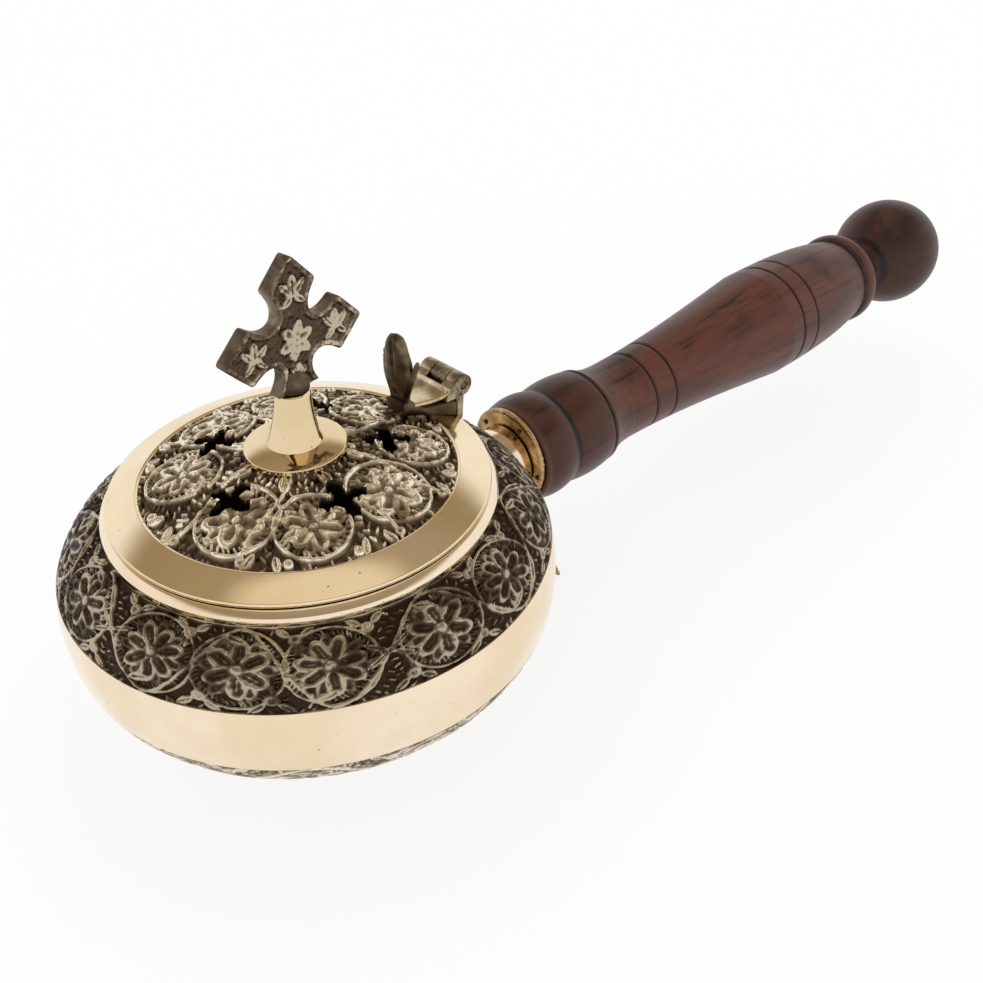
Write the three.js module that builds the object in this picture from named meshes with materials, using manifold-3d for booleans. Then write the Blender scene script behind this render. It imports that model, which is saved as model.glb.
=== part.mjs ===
// A hand censer: a cast brass bowl with a pierced, hinged lid, a cross on the lid, and a turned
// wooden handle held to the bowl by a socket and by a round plate that runs down into a leg.
// Millimetres. The origin is the centre of the bowl's foot, +Z is up and +X runs along the handle.

import * as THREE from 'three';
import { mergeVertices } from 'three/addons/utils/BufferGeometryUtils.js';
import Module from 'manifold-3d';

const wasm = await Module();
wasm.setup();

// Gap between pieces that touch or move on each other.
const gap = 0.3;

// Bowl
const wall = 2.4;
const footRadius = 24;
const footHeight = 3;
const footNeck = 2.2;
const underRadius = 40.6;
const underBulge = 1.6;
const lowerBandRise = 11.4;
const bandRadius = 50.6;
const bandSwell = 0.8;
const bandBottom = 31.8;
const bandHeight = 14.2;
const shoulderRise = 10.6;
const shoulderBulge = 1.7;
const collarRadius = 39.8;
const collarHeight = 2.7;
const collarChamfer = 1.3;
const mouthLedge = 3;

// Lid
const lidSetback = 1.4;
const lidEdge = 0.9;
const lidChamferRise = 2;
const chamferWidth = 6.1;
const domeRise = 6;
const lidWall = 1.6;
const skirtDepth = 2.2;
const skirtWall = 1.4;
const piercings = 5;
const piercingCircle = 18.1;
const piercingFirst = -25;
const piercingReach = 5.2;
const piercingWidth = 3;

// Finial and cross
const finialRadius = 10.2;
const finialEdge = 1.1;
const stemFootRadius = 5.5;
const stemTopRadius = 3.5;
const stemHeight = 12.2;
const finialLean = 6;
const shankRadius = 1.5;
const nutAcross = 7;
const nutHeight = 2.6;
const washerRadius = 5;
const washerThickness = 0.9;

// Cross: half of one notch between two arms as [across, up] in shares of the reach of an arm
const crossCentre = 10.3;
const crossThickness = 3.4;
const crossReach = 16.8;
const crossNotch = [
  [0.34, 0.65], [0.28, 0.565], [0.23, 0.48], [0.208, 0.395], [0.215, 0.315], [0.25, 0.25],
];
const crossShift = 2.5;
const crossLean = 3.4;
const crossTurn = 7;
const crossBaseHeight = 3;

// Lid hinge: its axis lies across the handle, and it stands turned a little about the lid's centre
const hingeTurn = 1.3;
const hingeOverhang = 1.3;
const hingeHeight = 7.8;
const knuckleRadius = 2.4;
const hingeLength = 11.8;
const middleKnuckle = 4.4;
const pinRadius = 0.75;
const hingePlate = 1.5;
const hingePlateInset = 0.75;
const lugThickness = 2;

// Thumb leaf: half its blade's outline as [share of the half width, share of the height]
const leafSetback = 12.7;
const leafHeight = 15.4;
const leafHalfWidth = 5.25;
const leafThickness = 1.9;
const leafBlade = [
  [0.5, 0], [0.52, 0.1], [0.68, 0.22], [0.87, 0.39], [0.98, 0.57], [1, 0.65], [0.92, 0.69],
  [0.82, 0.66], [0.75, 0.57], [0.67, 0.5], [0.62, 0.62], [0.54, 0.75], [0.43, 0.86], [0.25, 0.96],
];
const leafBaseRise = 2.8;
const leafBaseHalfWidth = 2.9;

// Handle mount
const handleHeight = 38.3;
const socketRadius = 8.6;
const socketBore = 6.6;
const socketLength = 6.4;
const plateRadius = 11.45;
const plateThickness = 1.4;
const plateRaise = 0.9;
const platePins = 5;
const firstPinAngle = 48;
const platePinRadius = 0.65;
const platePinLength = 12;
const legWidth = 15.2;
const legSplay = 9.8;
const legBend = 26;
const screwRadius = 2.5;
const screwDepth = 42;
const screwHeadRadius = 5;
const screwHeadHeight = 3.2;
const screwWasherRadius = 6.8;

// Wooden handle: the distance of each turned form from the handle's front end, and its radius
const gripFrontRadius = 12.2;
const beadRadius = 13.1;
const beadLength = 10.2;
const beadNotch = 0.8;
const secondBeadLength = 12.6;
const waistStart = 32;
const waistRadius = 10.3;
const waistEnd = 46;
const swellStart = 93;
const swellRadius = 15.2;
const gripLength = 132;
const gripEndRadius = 12.4;
const collarDiscRadius = 13.4;
const collarDiscLength = 5.4;
const neckRadius = 7.7;
const ballRadius = 15.8;
const ballCentre = 163.4;
const grooveWidth = 1;
const grooveDepth = 0.5;
const waistGrooves = [-5.4, 1.7];
const swellGrooves = [4.4, 10.8];
const screwTip = 4;

// Sides of the large, the middling, the small and the smallest round pieces
const coarse = 56;
const medium = 32;
const fine = 16;
const finest = 10;

// A length that passes right through any piece that it cuts
const through = 20;

const degrees = Math.PI / 180;

// Materials
const polishedBrass = new THREE.MeshStandardMaterial({ color: 0xe0c58f, metalness: 1, roughness: 0.12 });
const castBrass = new THREE.MeshStandardMaterial({ color: 0xb79c6c, metalness: 1, roughness: 0.35 });
const agedBrass = new THREE.MeshStandardMaterial({ color: 0x6b5c49, metalness: 1, roughness: 0.45 });
const wood = new THREE.MeshStandardMaterial({ color: 0x4a251b, metalness: 0, roughness: 0.35 });
const steel = new THREE.MeshStandardMaterial({ color: 0x8f8f8c, metalness: 1, roughness: 0.4 });

// A closed geometry becomes a solid for joining and cutting. Triangles that collapse where a
// turned outline meets its axis are left out, and the faces are made to point out.
function solid(geometry) {
  const bare = geometry.index ? geometry.toNonIndexed() : geometry.clone();
  for (const name of ['normal', 'uv']) {
    bare.deleteAttribute(name);
  }
  const merged = mergeVertices(bare, 1e-4);
  const place = merged.attributes.position;
  const triangles = [];
  let volume = 0;
  const [a, b, c] = [new THREE.Vector3(), new THREE.Vector3(), new THREE.Vector3()];
  for (let i = 0; i < merged.index.count; i += 3) {
    const corners = [0, 1, 2].map((k) => merged.index.getX(i + k));
    if (new Set(corners).size === 3) {
      triangles.push(...corners);
      [a, b, c].forEach((corner, k) => corner.fromBufferAttribute(place, corners[k]));
      volume += a.dot(b.cross(c));
    }
  }
  if (volume < 0) {
    triangles.reverse();
  }
  return new wasm.Manifold(new wasm.Mesh({
    numProp: 3,
    vertProperties: new Float32Array(place.array),
    triVerts: new Uint32Array(triangles),
  }));
}

// A solid becomes a geometry again.
function shape(body) {
  const mesh = body.getMesh();
  const geometry = new THREE.BufferGeometry();
  geometry.setAttribute('position', new THREE.BufferAttribute(mesh.vertProperties, 3));
  geometry.setIndex(new THREE.BufferAttribute(mesh.triVerts, 1));
  geometry.computeVertexNormals();
  return geometry;
}

// A named piece of the object, from a solid.
function piece(name, body, material) {
  const mesh = new THREE.Mesh(shape(body), material);
  mesh.name = name;
  return mesh;
}

// A solid turned about the upright axis from points [radius, height].
function turned(points, sides) {
  const profile = points.map(([radius, height]) => new THREE.Vector2(radius, height));
  return solid(new THREE.LatheGeometry(profile, sides).rotateX(Math.PI / 2));
}

// A solid turned about the X axis from points [distance, radius].
function turnedAlongX(points, sides) {
  const profile = points.map(([distance, radius]) => new THREE.Vector2(radius, distance));
  return solid(new THREE.LatheGeometry(profile, sides).rotateZ(-Math.PI / 2));
}

// A flat outline [across, up], given a thickness that is centred on the outline's plane.
function plate(points, thickness) {
  const outline = new THREE.Shape(points.map(([x, y]) => new THREE.Vector2(x, y)));
  const geometry = new THREE.ExtrudeGeometry(outline, { depth: thickness, bevelEnabled: false });
  return geometry.translate(0, 0, -thickness / 2);
}

// A plate whose outline lies in the X and Z directions, and whose thickness is along Y.
function sidePlate(points, thickness) {
  return solid(plate(points, thickness).rotateX(Math.PI / 2));
}

// Points on the arc from one point to another that bulges to the left of the line between them.
function arc(from, to, bulge, steps) {
  const [ax, ay] = from;
  const [bx, by] = to;
  const chord = Math.hypot(bx - ax, by - ay);
  const radius = (chord * chord / 4 + bulge * bulge) / (2 * bulge);
  const half = Math.asin(chord / 2 / radius);
  const along = [(bx - ax) / chord, (by - ay) / chord];
  const left = [-along[1], along[0]];
  const points = [];
  for (let i = 0; i <= steps; i += 1) {
    const turn = half * (2 * i / steps - 1);
    const run = chord / 2 + radius * Math.sin(turn);
    const rise = bulge - radius * (1 - Math.cos(turn));
    points.push([ax + along[0] * run + left[0] * rise, ay + along[1] * run + left[1] * rise]);
  }
  return points;
}

// Points on a circle's arc between two angles in degrees.
function round(centreX, centreY, radius, fromAngle, toAngle, steps) {
  const points = [];
  for (let i = 0; i <= steps; i += 1) {
    const turn = (fromAngle + (toAngle - fromAngle) * i / steps) * degrees;
    points.push([centreX + radius * Math.cos(turn), centreY + radius * Math.sin(turn)]);
  }
  return points;
}

// The same outline moved sideways by a distance, to its left when followed from first to last.
function offset(points, distance) {
  return points.map((point, i) => {
    const before = points[Math.max(i - 1, 0)];
    const after = points[Math.min(i + 1, points.length - 1)];
    const run = Math.hypot(after[0] - before[0], after[1] - before[1]);
    return [
      point[0] - distance * (after[1] - before[1]) / run,
      point[1] + distance * (after[0] - before[0]) / run,
    ];
  });
}

// Places that follow from the collar's size
const mouthRadius = collarRadius - mouthLedge;
const lidRadius = collarRadius - lidSetback;
const discRadius = lidRadius - chamferWidth;
const hingeReach = lidRadius + hingeOverhang;
const leafReach = hingeReach - leafSetback;

// Heights that several pieces share
const bandTop = bandBottom + bandHeight;
const bowlFloor = footHeight + footNeck + wall / 2;
const shoulderTop = bandTop + shoulderRise;
const collarTop = shoulderTop + collarHeight;
const lidBottom = collarTop + gap;
const chamferBottom = lidBottom + lidEdge;
const discEdge = chamferBottom + lidChamferRise;
const domeRadius = (discRadius * discRadius + domeRise * domeRise) / (2 * domeRise);
const domeTop = discEdge + domeRise;
const stemTop = domeTop + stemHeight;
const stemBottom = domeTop + gap + finialEdge;
const stemSlope = Math.tan(finialLean * degrees);
const crossHeight = stemTop + crossCentre;

// Places that the hinge's and the handle's pieces share
const hingeAxis = lidBottom + hingeHeight;
const hingeFace = lidRadius - hingePlateInset;
const leafBack = leafReach + leafThickness / 2;
const tongueTop = hingeAxis - 0.6;
const tongueBottom = tongueTop - hingePlate;
const plateFace = bandRadius + socketLength;
const gripFront = plateFace + plateThickness + gap;
const pinCircle = (socketRadius + plateRadius) / 2;

// Height of the lid's domed disc at a distance from its centre.
function domeHeight(radius) {
  return domeTop - domeRadius + Math.sqrt(domeRadius * domeRadius - radius * radius);
}

// The bowl's outer outline from its foot to the edge of its collar.
function bowlOutline() {
  const neck = footRadius - footNeck;
  return [
    ...arc([neck, footHeight + footNeck], [underRadius, bandBottom - lowerBandRise], -underBulge, 4),
    ...arc([underRadius, bandBottom - lowerBandRise], [bandRadius, bandBottom], -shoulderBulge, 5).slice(1),
    ...arc([bandRadius, bandBottom], [bandRadius, bandTop], -bandSwell, 4).slice(1),
    ...arc([bandRadius, bandTop], [collarRadius, shoulderTop], -shoulderBulge, 6).slice(1),
  ];
}

// The outline of the bowl's inside above its floor.
function innerOutline() {
  return offset(bowlOutline(), wall).filter(([, height], i) => height > bowlFloor + 1 && i % 2 > 0);
}

function bowl() {
  const outline = bowlOutline();
  const outer = turned([
    [0, 0],
    [footRadius - 0.6, 0],
    [footRadius, 0.6],
    [footRadius, footHeight],
    ...outline,
    [collarRadius, shoulderTop + collarHeight - collarChamfer],
    [collarRadius - collarChamfer, collarTop],
    [0, collarTop],
  ], coarse);
  const inner = innerOutline();
  const underCollar = inner[inner.length - 1][1];
  const cavity = turned([
    [0, bowlFloor],
    [footRadius - footNeck, bowlFloor],
    ...inner,
    [mouthRadius, underCollar + 1],
    [mouthRadius, collarTop + 1],
    [0, collarTop + 1],
  ], coarse);
  return outer.subtract(cavity);
}

// The space that the bowl fills, a little enlarged, for cutting what is set against it.
function bowlEnvelope(extra) {
  return turned([
    [0, 0],
    ...offset(bowlOutline(), -extra),
    [collarRadius + extra, collarTop + extra],
    [0, collarTop + extra],
  ], coarse);
}

// The lid's upper outline from its centre to the edge of its rim.
function lidTop(extra) {
  const steps = 7;
  const points = [];
  for (let i = 0; i <= steps; i += 1) {
    const radius = discRadius * i / steps;
    points.push([radius, domeHeight(radius) + extra]);
  }
  points.push([lidRadius + extra, chamferBottom + extra]);
  return points;
}

// The space that the lid fills above its underside, a little enlarged.
function lidEnvelope(extra) {
  return turned([...lidTop(extra), [lidRadius + extra, lidBottom - 1], [0, lidBottom - 1]], coarse);
}

// One cross-shaped smoke hole with flared arms, as an outline about its own centre.
function piercingOutline() {
  const half = piercingWidth / 2;
  const points = [];
  for (let quarter = 0; quarter < 4; quarter += 1) {
    const turn = quarter * Math.PI / 2;
    const corners = [
      [half * 0.8, half * 0.8],
      [piercingReach * 0.8, half * 1.05],
      [piercingReach, 0],
      [piercingReach * 0.8, -half * 1.05],
    ];
    for (const [x, y] of corners.reverse()) {
      points.push([x * Math.cos(turn) - y * Math.sin(turn), x * Math.sin(turn) + y * Math.cos(turn)]);
    }
  }
  return points;
}

function lid() {
  const skirtRadius = mouthRadius - 2 * gap;
  const innerRadius = skirtRadius - skirtWall;
  const under = [];
  const steps = 5;
  for (let i = 0; i <= steps; i += 1) {
    const radius = innerRadius * i / steps;
    under.push([radius, domeHeight(Math.min(radius, discRadius)) - lidWall]);
  }
  let body = turned([
    ...under,
    [innerRadius, lidBottom - skirtDepth],
    [skirtRadius, lidBottom - skirtDepth],
    [skirtRadius, lidBottom],
    [lidRadius, lidBottom],
    ...lidTop(0).reverse(),
  ], coarse);
  for (let i = 0; i < piercings; i += 1) {
    const angle = (piercingFirst + i * 360 / piercings) * degrees;
    const across = piercingCircle * Math.cos(angle);
    const along = piercingCircle * Math.sin(angle);
    const hole = plate(piercingOutline(), through).rotateZ(angle).translate(across, along, domeTop);
    body = body.subtract(solid(hole));
  }
  return body.subtract(upright(shankRadius + gap, lidBottom, domeTop + 1));
}

// An upright round bar between two heights.
function upright(radius, bottom, top) {
  return turned([[0, bottom], [radius, bottom], [radius, top], [0, top]], fine);
}

// A stem of polished brass on a wide foot; above the foot it leans a little towards the handle.
function finialStem() {
  const bottom = domeHeight(finialRadius) - finialEdge;
  const rim = domeHeight(finialRadius) + finialEdge;
  const foot = turned([
    [0, bottom],
    [finialRadius, bottom],
    [finialRadius, rim],
    ...arc([finialRadius - 0.9, rim + 0.5], [stemFootRadius, stemBottom], -0.2, 3),
    [stemFootRadius - 0.2, stemBottom + 0.4],
    [0, stemBottom + 0.4],
  ], medium);
  const stem = turned([
    [0, stemBottom],
    ...arc([stemFootRadius - 0.2, stemBottom], [stemTopRadius, stemTop], 0.4, 4),
    [0, stemTop],
  ], medium).transform([1, 0, 0, 0, 0, 1, 0, 0, stemSlope, 0, 1, 0, -stemSlope * stemBottom, 0, 0, 1]);
  const bore = upright(shankRadius + gap, bottom - 1, stemTop + 1);
  return foot.add(stem).subtract(lidEnvelope(gap)).subtract(bore);
}

// The cross's outline about its centre: four arms with pointed ends and a round notch between
// each two.
function crossOutline() {
  const half = crossNotch.map(([across, up]) => [across * crossReach, up * crossReach]);
  const notch = [...half, ...half.slice(0, -1).reverse().map(([x, y]) => [y, x])];
  const points = [];
  for (let quarter = 0; quarter < 4; quarter += 1) {
    const turn = -quarter * Math.PI / 2;
    for (const [x, y] of [[0, crossReach], ...notch]) {
      points.push([x * Math.cos(turn) - y * Math.sin(turn), x * Math.sin(turn) + y * Math.cos(turn)]);
    }
  }
  return points;
}

// The cross, cut off level with the stem's top, on a round base as wide as the stem, with a shank
// that goes down through the stem and the lid.
function cross() {
  const bottom = stemTop + gap;
  const arms = solid(plate(crossOutline(), crossThickness).rotateX(Math.PI / 2));
  const leaned = arms.rotate([0, crossLean, 0]).translate([crossShift, 0, crossHeight]);
  const room = upright(2 * crossReach, bottom, crossHeight + 2 * crossReach);
  const base = turned([
    [0, bottom],
    [stemTopRadius, bottom],
    [stemTopRadius, bottom + crossBaseHeight / 2],
    [crossThickness / 2, bottom + crossBaseHeight],
    [0, bottom + crossBaseHeight],
  ], fine).translate([stemSlope * stemHeight, 0, 0]);
  return leaned.intersect(room).add(base).add(upright(shankRadius, shankBottom(), crossHeight));
}

function washerTop() {
  return domeTop - lidWall - gap;
}

function shankBottom() {
  return washerTop() - washerThickness - gap - nutHeight - 1;
}

function finialWasher() {
  return upright(washerRadius, washerTop() - washerThickness, washerTop())
    .subtract(upright(shankRadius + gap, domeTop - through, domeTop));
}

function finialNut() {
  const top = washerTop() - washerThickness - gap;
  const hexagon = round(0, 0, nutAcross / 2 / Math.cos(30 * degrees), 0, 300, 5);
  const block = solid(plate(hexagon, nutHeight).translate(0, 0, top - nutHeight / 2));
  return block.subtract(upright(shankRadius + gap, top - nutHeight - 1, top + 1));
}

// The thumb leaf's base, seen from above, with its sides curving out towards the hinge.
function tongueOutline(start, end, inset) {
  const side = arc([start, leafBaseHalfWidth - inset], [end, hingeLength / 2 - inset], -0.7, 4);
  return [...side.map(([x, y]) => [x, -y]), ...side.reverse()];
}

// The thumb leaf and its base: a three-pointed blade on a block that is bedded on the lid.
function thumbLeaf() {
  const foot = domeHeight(leafReach) + leafBaseRise;
  const half = leafBlade.map(([across, up]) => [across * leafHalfWidth, up * leafHeight]);
  const outline = [...half, [0, leafHeight], ...half.slice().reverse().map(([x, y]) => [-x, y])];
  const blade = plate(outline, leafThickness).rotateX(Math.PI / 2).rotateZ(Math.PI / 2);
  const start = leafReach - leafThickness / 2 - 0.5;
  const end = hingeFace - gap;
  const block = sidePlate([
    [start, chamferBottom],
    [end, chamferBottom],
    [end, tongueBottom - gap],
    [leafBack, tongueBottom - gap],
    [leafBack, foot + 0.1],
    [start + 0.5, foot + 0.1],
    [start, foot - 0.6],
  ], hingeLength);
  const tongue = solid(plate(tongueOutline(start, end, 0), through).translate(0, 0, tongueBottom));
  return block.intersect(tongue).subtract(lidEnvelope(gap)).add(solid(blade.translate(leafReach, 0, foot)));
}

// The hinge half on the lid: a tongue on the thumb leaf's base, a plate that stands on the edge of
// the rim, and the two outer knuckles.
function lidHingePlate() {
  const outline = tongueOutline(leafBack, hingeFace + hingePlate, 0.15);
  const tongue = sidePlate([
    [leafBack + gap, tongueBottom],
    [hingeFace + hingePlate / 2, tongueBottom],
    [hingeFace + hingePlate / 2, tongueTop],
    [leafBack + gap, tongueTop],
  ], hingeLength).intersect(solid(plate(outline, through).translate(0, 0, tongueBottom)));
  const wallPlate = sidePlate([
    [hingeFace, lidBottom],
    [hingeFace + hingePlate, lidBottom],
    [hingeFace + hingePlate, hingeAxis],
    [hingeFace, hingeAxis],
  ], hingeLength);
  const notch = sidePlate([
    [hingeFace - 1, lidBottom - 1],
    [hingeReach, lidBottom - 1],
    [hingeReach, chamferBottom + hingePlate],
    [hingeFace - 1, chamferBottom + hingePlate],
  ], middleKnuckle);
  const room = alongY(knuckleRadius + gap, middleKnuckle + 2 * gap, 0);
  const outerKnuckle = (hingeLength - middleKnuckle) / 2 - gap;
  let body = tongue.add(wallPlate).subtract(lidEnvelope(gap)).subtract(notch).subtract(room);
  for (const side of [-1, 1]) {
    body = body.add(alongY(knuckleRadius, outerKnuckle, side * (hingeLength - outerKnuckle) / 2));
  }
  return body.subtract(alongY(pinRadius + gap, through, 0));
}

// A round bar on the hinge axis, centred at a distance along it.
function alongY(radius, length, centre) {
  const bar = new THREE.CylinderGeometry(radius, radius, length, fine);
  return solid(bar.translate(0, centre, 0)).translate([hingeReach, 0, hingeAxis]);
}

function hingePin() {
  return new THREE.CylinderGeometry(pinRadius, pinRadius, hingeLength + gap, fine);
}

// The hinge half on the bowl: a lug that stands on the shoulder behind the collar and rises past
// the lid's rim to the middle knuckle.
function hingeLug() {
  const inside = hingeFace + hingePlate + gap;
  const outside = collarRadius + gap;
  const back = hingeReach + knuckleRadius;
  const arm = sidePlate([
    [inside, hingeAxis],
    [inside, collarTop + lugThickness],
    [outside, shoulderTop + gap],
    [outside, shoulderTop - lugThickness],
    [outside + lugThickness, shoulderTop - lugThickness],
    [outside + lugThickness, shoulderTop + lugThickness / 2],
    [back, collarTop + lugThickness],
    [back, hingeAxis],
  ], middleKnuckle);
  const body = arm.subtract(bowlEnvelope(gap)).add(alongY(knuckleRadius, middleKnuckle, 0));
  return body.subtract(alongY(pinRadius + gap, through, 0));
}

// The tube that stands out of the bowl's side.
function handleSocket() {
  const tube = turnedAlongX([
    [bandRadius / 2, 0],
    [bandRadius / 2, socketRadius],
    [plateFace - gap, socketRadius],
    [plateFace - gap, 0],
  ], medium).translate([0, 0, handleHeight]);
  const bore = turnedAlongX([
    [0, 0],
    [0, socketBore],
    [plateFace, socketBore],
    [plateFace, 0],
  ], medium).translate([0, 0, handleHeight]);
  return tube.subtract(bowlEnvelope(gap)).subtract(bore);
}

// Where a pin of the round plate stands, by angle from the top towards +Y.
function pinPlace(i) {
  const angle = (firstPinAngle + i * 360 / platePins) * degrees;
  return [pinCircle * Math.sin(angle), handleHeight + pinCircle * Math.cos(angle)];
}

function platePin() {
  return turnedAlongX([
    [-0.5, 0],
    [-0.3, platePinRadius * 0.9],
    [0, platePinRadius],
    [platePinLength - 2, platePinRadius],
    [platePinLength, 0],
  ], finest);
}

// A piece with a hole for each of the plate's pins.
function withoutPins(body) {
  let cut = body;
  for (let i = 0; i < platePins; i += 1) {
    const [across, height] = pinPlace(i);
    cut = cut.subtract(turnedAlongX([
      [plateFace - 1, 0],
      [plateFace - 1, platePinRadius + gap],
      [plateFace + platePinLength + gap, platePinRadius + gap],
      [plateFace + platePinLength + gap, 0],
    ], finest).translate([0, across, height]));
  }
  return cut;
}

// The room of the handle's screw, from the inside of the bowl to its end in the wood.
function screwSpace() {
  return turnedAlongX([
    [0, 0],
    [0, screwRadius + gap],
    [gripFront + screwDepth + gap, screwRadius + gap],
    [gripFront + screwDepth + gap, 0],
  ], fine).translate([0, 0, handleHeight]);
}

// The round plate between the socket and the wood, which runs down into the leg: the leg bends
// out under the wood, and its foot stands on the table.
function legPlate() {
  const back = plateFace + plateThickness;
  const disc = turnedAlongX([
    [plateFace, 0],
    [plateFace, plateRadius - 0.4],
    [plateFace + 0.4, plateRadius],
    [back, plateRadius],
    [back, 0],
  ], medium).translate([0, 0, handleHeight + plateRaise]);
  const leg = sidePlate([
    [plateFace, handleHeight],
    [plateFace, legBend],
    [plateFace + legSplay, 0],
    [back + legSplay, 0],
    [back, legBend],
    [back, handleHeight],
  ], legWidth);
  return withoutPins(disc.add(leg).subtract(screwSpace()));
}

// The handle's turned outline [distance from the front end, radius].
function gripOutline() {
  const secondBead = beadLength + secondBeadLength;
  const discEnd = gripLength + collarDiscLength;
  const ballStart = ballCentre - Math.sqrt(ballRadius * ballRadius - neckRadius * neckRadius);
  const outline = [
    [0, 0],
    [0, gripFrontRadius - 0.6],
    ...arc([0.6, gripFrontRadius], [beadLength, beadRadius - beadNotch], 0.8, 4),
    ...arc([beadLength + 0.5, beadRadius - beadNotch], [secondBead, beadRadius - 0.6], 0.6, 4),
    ...grooveAt(secondBead, beadRadius - 0.6),
    ...arc([secondBead + 2, beadRadius - 1.1], [waistStart, waistRadius + 0.1], -0.35, 4),
    ...swell(),
    [gripLength, gripEndRadius],
    [gripLength + 0.4, gripEndRadius - 0.4],
    ...arc([gripLength + 1, collarDiscRadius - 0.5], [discEnd, collarDiscRadius - 0.7], 0.5, 3),
    ...arc([discEnd + 1, collarDiscRadius - 1.6], [ballStart, neckRadius], -1.6, 4),
  ];
  const open = Math.asin(neckRadius / ballRadius) / degrees;
  outline.push(...round(ballCentre, 0, ballRadius, 180 - open, 0, 9).slice(1, -1));
  outline.push([ballCentre + ballRadius, 0]);
  return outline;
}

// A shallow turned groove: three points from its start at a distance.
function grooveAt(distance, radius) {
  return [
    [distance, radius],
    [distance + grooveWidth / 2, radius - grooveDepth],
    [distance + grooveWidth, radius],
  ];
}

// Radius of the long grip between its waist and its rear end, by distance.
function swellAt(distance) {
  if (distance < swellStart) {
    const share = Math.max((distance - waistStart) / (swellStart - waistStart), 0);
    return waistRadius + (swellRadius - waistRadius) * share * share * (1.55 - 0.55 * share);
  }
  const share = (distance - swellStart) / (gripLength - swellStart);
  return swellRadius - (swellRadius - gripEndRadius) * share * share * share;
}

function swell() {
  const grooves = [
    ...waistGrooves.map((place) => waistEnd + place),
    ...swellGrooves.map((place) => swellStart + place),
  ];
  const steps = 11;
  const stations = [];
  for (let i = 0; i < steps; i += 1) {
    const distance = waistStart + 1 + (gripLength - waistStart - 1) * i / steps;
    if (grooves.every((groove) => distance < groove - 1 || distance > groove + grooveWidth + 1)) {
      stations.push([distance, swellAt(distance)]);
    }
  }
  for (const groove of grooves) {
    stations.push(...grooveAt(groove, swellAt(groove)));
  }
  return stations.sort((a, b) => a[0] - b[0]);
}

function grip() {
  const outline = gripOutline().map(([distance, radius]) => [gripFront + distance, radius]);
  const body = turnedAlongX(outline, medium).translate([0, 0, handleHeight]);
  return withoutPins(body.subtract(screwSpace()));
}

// Radius of the bowl's inside at a height, measured to the middle of its flat sides.
function insideRadius(height) {
  const inner = innerOutline();
  const next = Math.max(inner.findIndex((point) => point[1] >= height), 1);
  const [low, high] = [inner[next - 1], inner[next]];
  const share = (height - low[1]) / (high[1] - low[1]);
  return (low[0] + (high[0] - low[0]) * share) * Math.cos(Math.PI / coarse);
}

// Where the flat washer of the handle's screw touches the bowl's round inside.
function innerFace() {
  const reaches = round(0, handleHeight, screwWasherRadius, 0, 360, medium).map(([across, height]) => {
    const inside = insideRadius(height);
    return Math.sqrt(inside * inside - across * across);
  });
  return Math.min(...reaches) - gap;
}

function handleScrew() {
  const head = innerFace() - washerThickness - gap;
  return turnedAlongX([
    [head - screwHeadHeight, 0],
    [head - screwHeadHeight, screwHeadRadius * 0.5],
    [head - screwHeadHeight * 0.6, screwHeadRadius * 0.9],
    [head, screwHeadRadius],
    [head, screwRadius],
    [gripFront + screwDepth - screwTip, screwRadius],
    [gripFront + screwDepth, 0],
  ], fine).translate([0, 0, handleHeight]);
}

function screwWasher() {
  const face = innerFace();
  const disc = turnedAlongX([
    [face - washerThickness, 0],
    [face - washerThickness, screwWasherRadius],
    [face, screwWasherRadius],
    [face, 0],
  ], fine).translate([0, 0, handleHeight]);
  return disc.subtract(screwSpace());
}

const censer = new THREE.Group();

censer.add(piece('bowl', bowl().subtract(screwSpace()), polishedBrass));
const bowlHinge = new THREE.Group();
bowlHinge.rotation.z = hingeTurn * degrees;
bowlHinge.add(piece('hinge_lug', hingeLug(), castBrass));
const pin = new THREE.Mesh(hingePin(), steel);
pin.name = 'hinge_pin';
pin.position.set(hingeReach, 0, hingeAxis);
bowlHinge.add(pin);
censer.add(bowlHinge);

const lidGroup = new THREE.Group();
lidGroup.add(piece('lid', lid(), polishedBrass));
const lidHinge = new THREE.Group();
lidHinge.rotation.z = hingeTurn * degrees;
lidHinge.add(piece('thumb_leaf', thumbLeaf(), agedBrass));
lidHinge.add(piece('lid_hinge_plate', lidHingePlate(), castBrass));
lidGroup.add(lidHinge);
lidGroup.add(piece('finial_stem', finialStem(), polishedBrass));
const crossMesh = piece('cross', cross(), agedBrass);
crossMesh.rotation.z = crossTurn * degrees;
lidGroup.add(crossMesh);
lidGroup.add(piece('finial_washer', finialWasher(), castBrass));
lidGroup.add(piece('finial_nut', finialNut(), castBrass));
censer.add(lidGroup);

const handleGroup = new THREE.Group();
handleGroup.add(piece('handle_socket', handleSocket(), polishedBrass));
handleGroup.add(piece('leg_plate', legPlate(), castBrass));
for (let i = 0; i < platePins; i += 1) {
  const mesh = piece(`plate_pin_${i + 1}`, platePin(), castBrass);
  mesh.position.set(plateFace - gap, ...pinPlace(i));
  handleGroup.add(mesh);
}
handleGroup.add(piece('wooden_handle', grip(), wood));
handleGroup.add(piece('handle_screw', handleScrew(), steel));
handleGroup.add(piece('screw_washer', screwWasher(), steel));
censer.add(handleGroup);

export default censer;
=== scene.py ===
import math

import bpy
import numpy as np
from mathutils import Matrix, Vector


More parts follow.
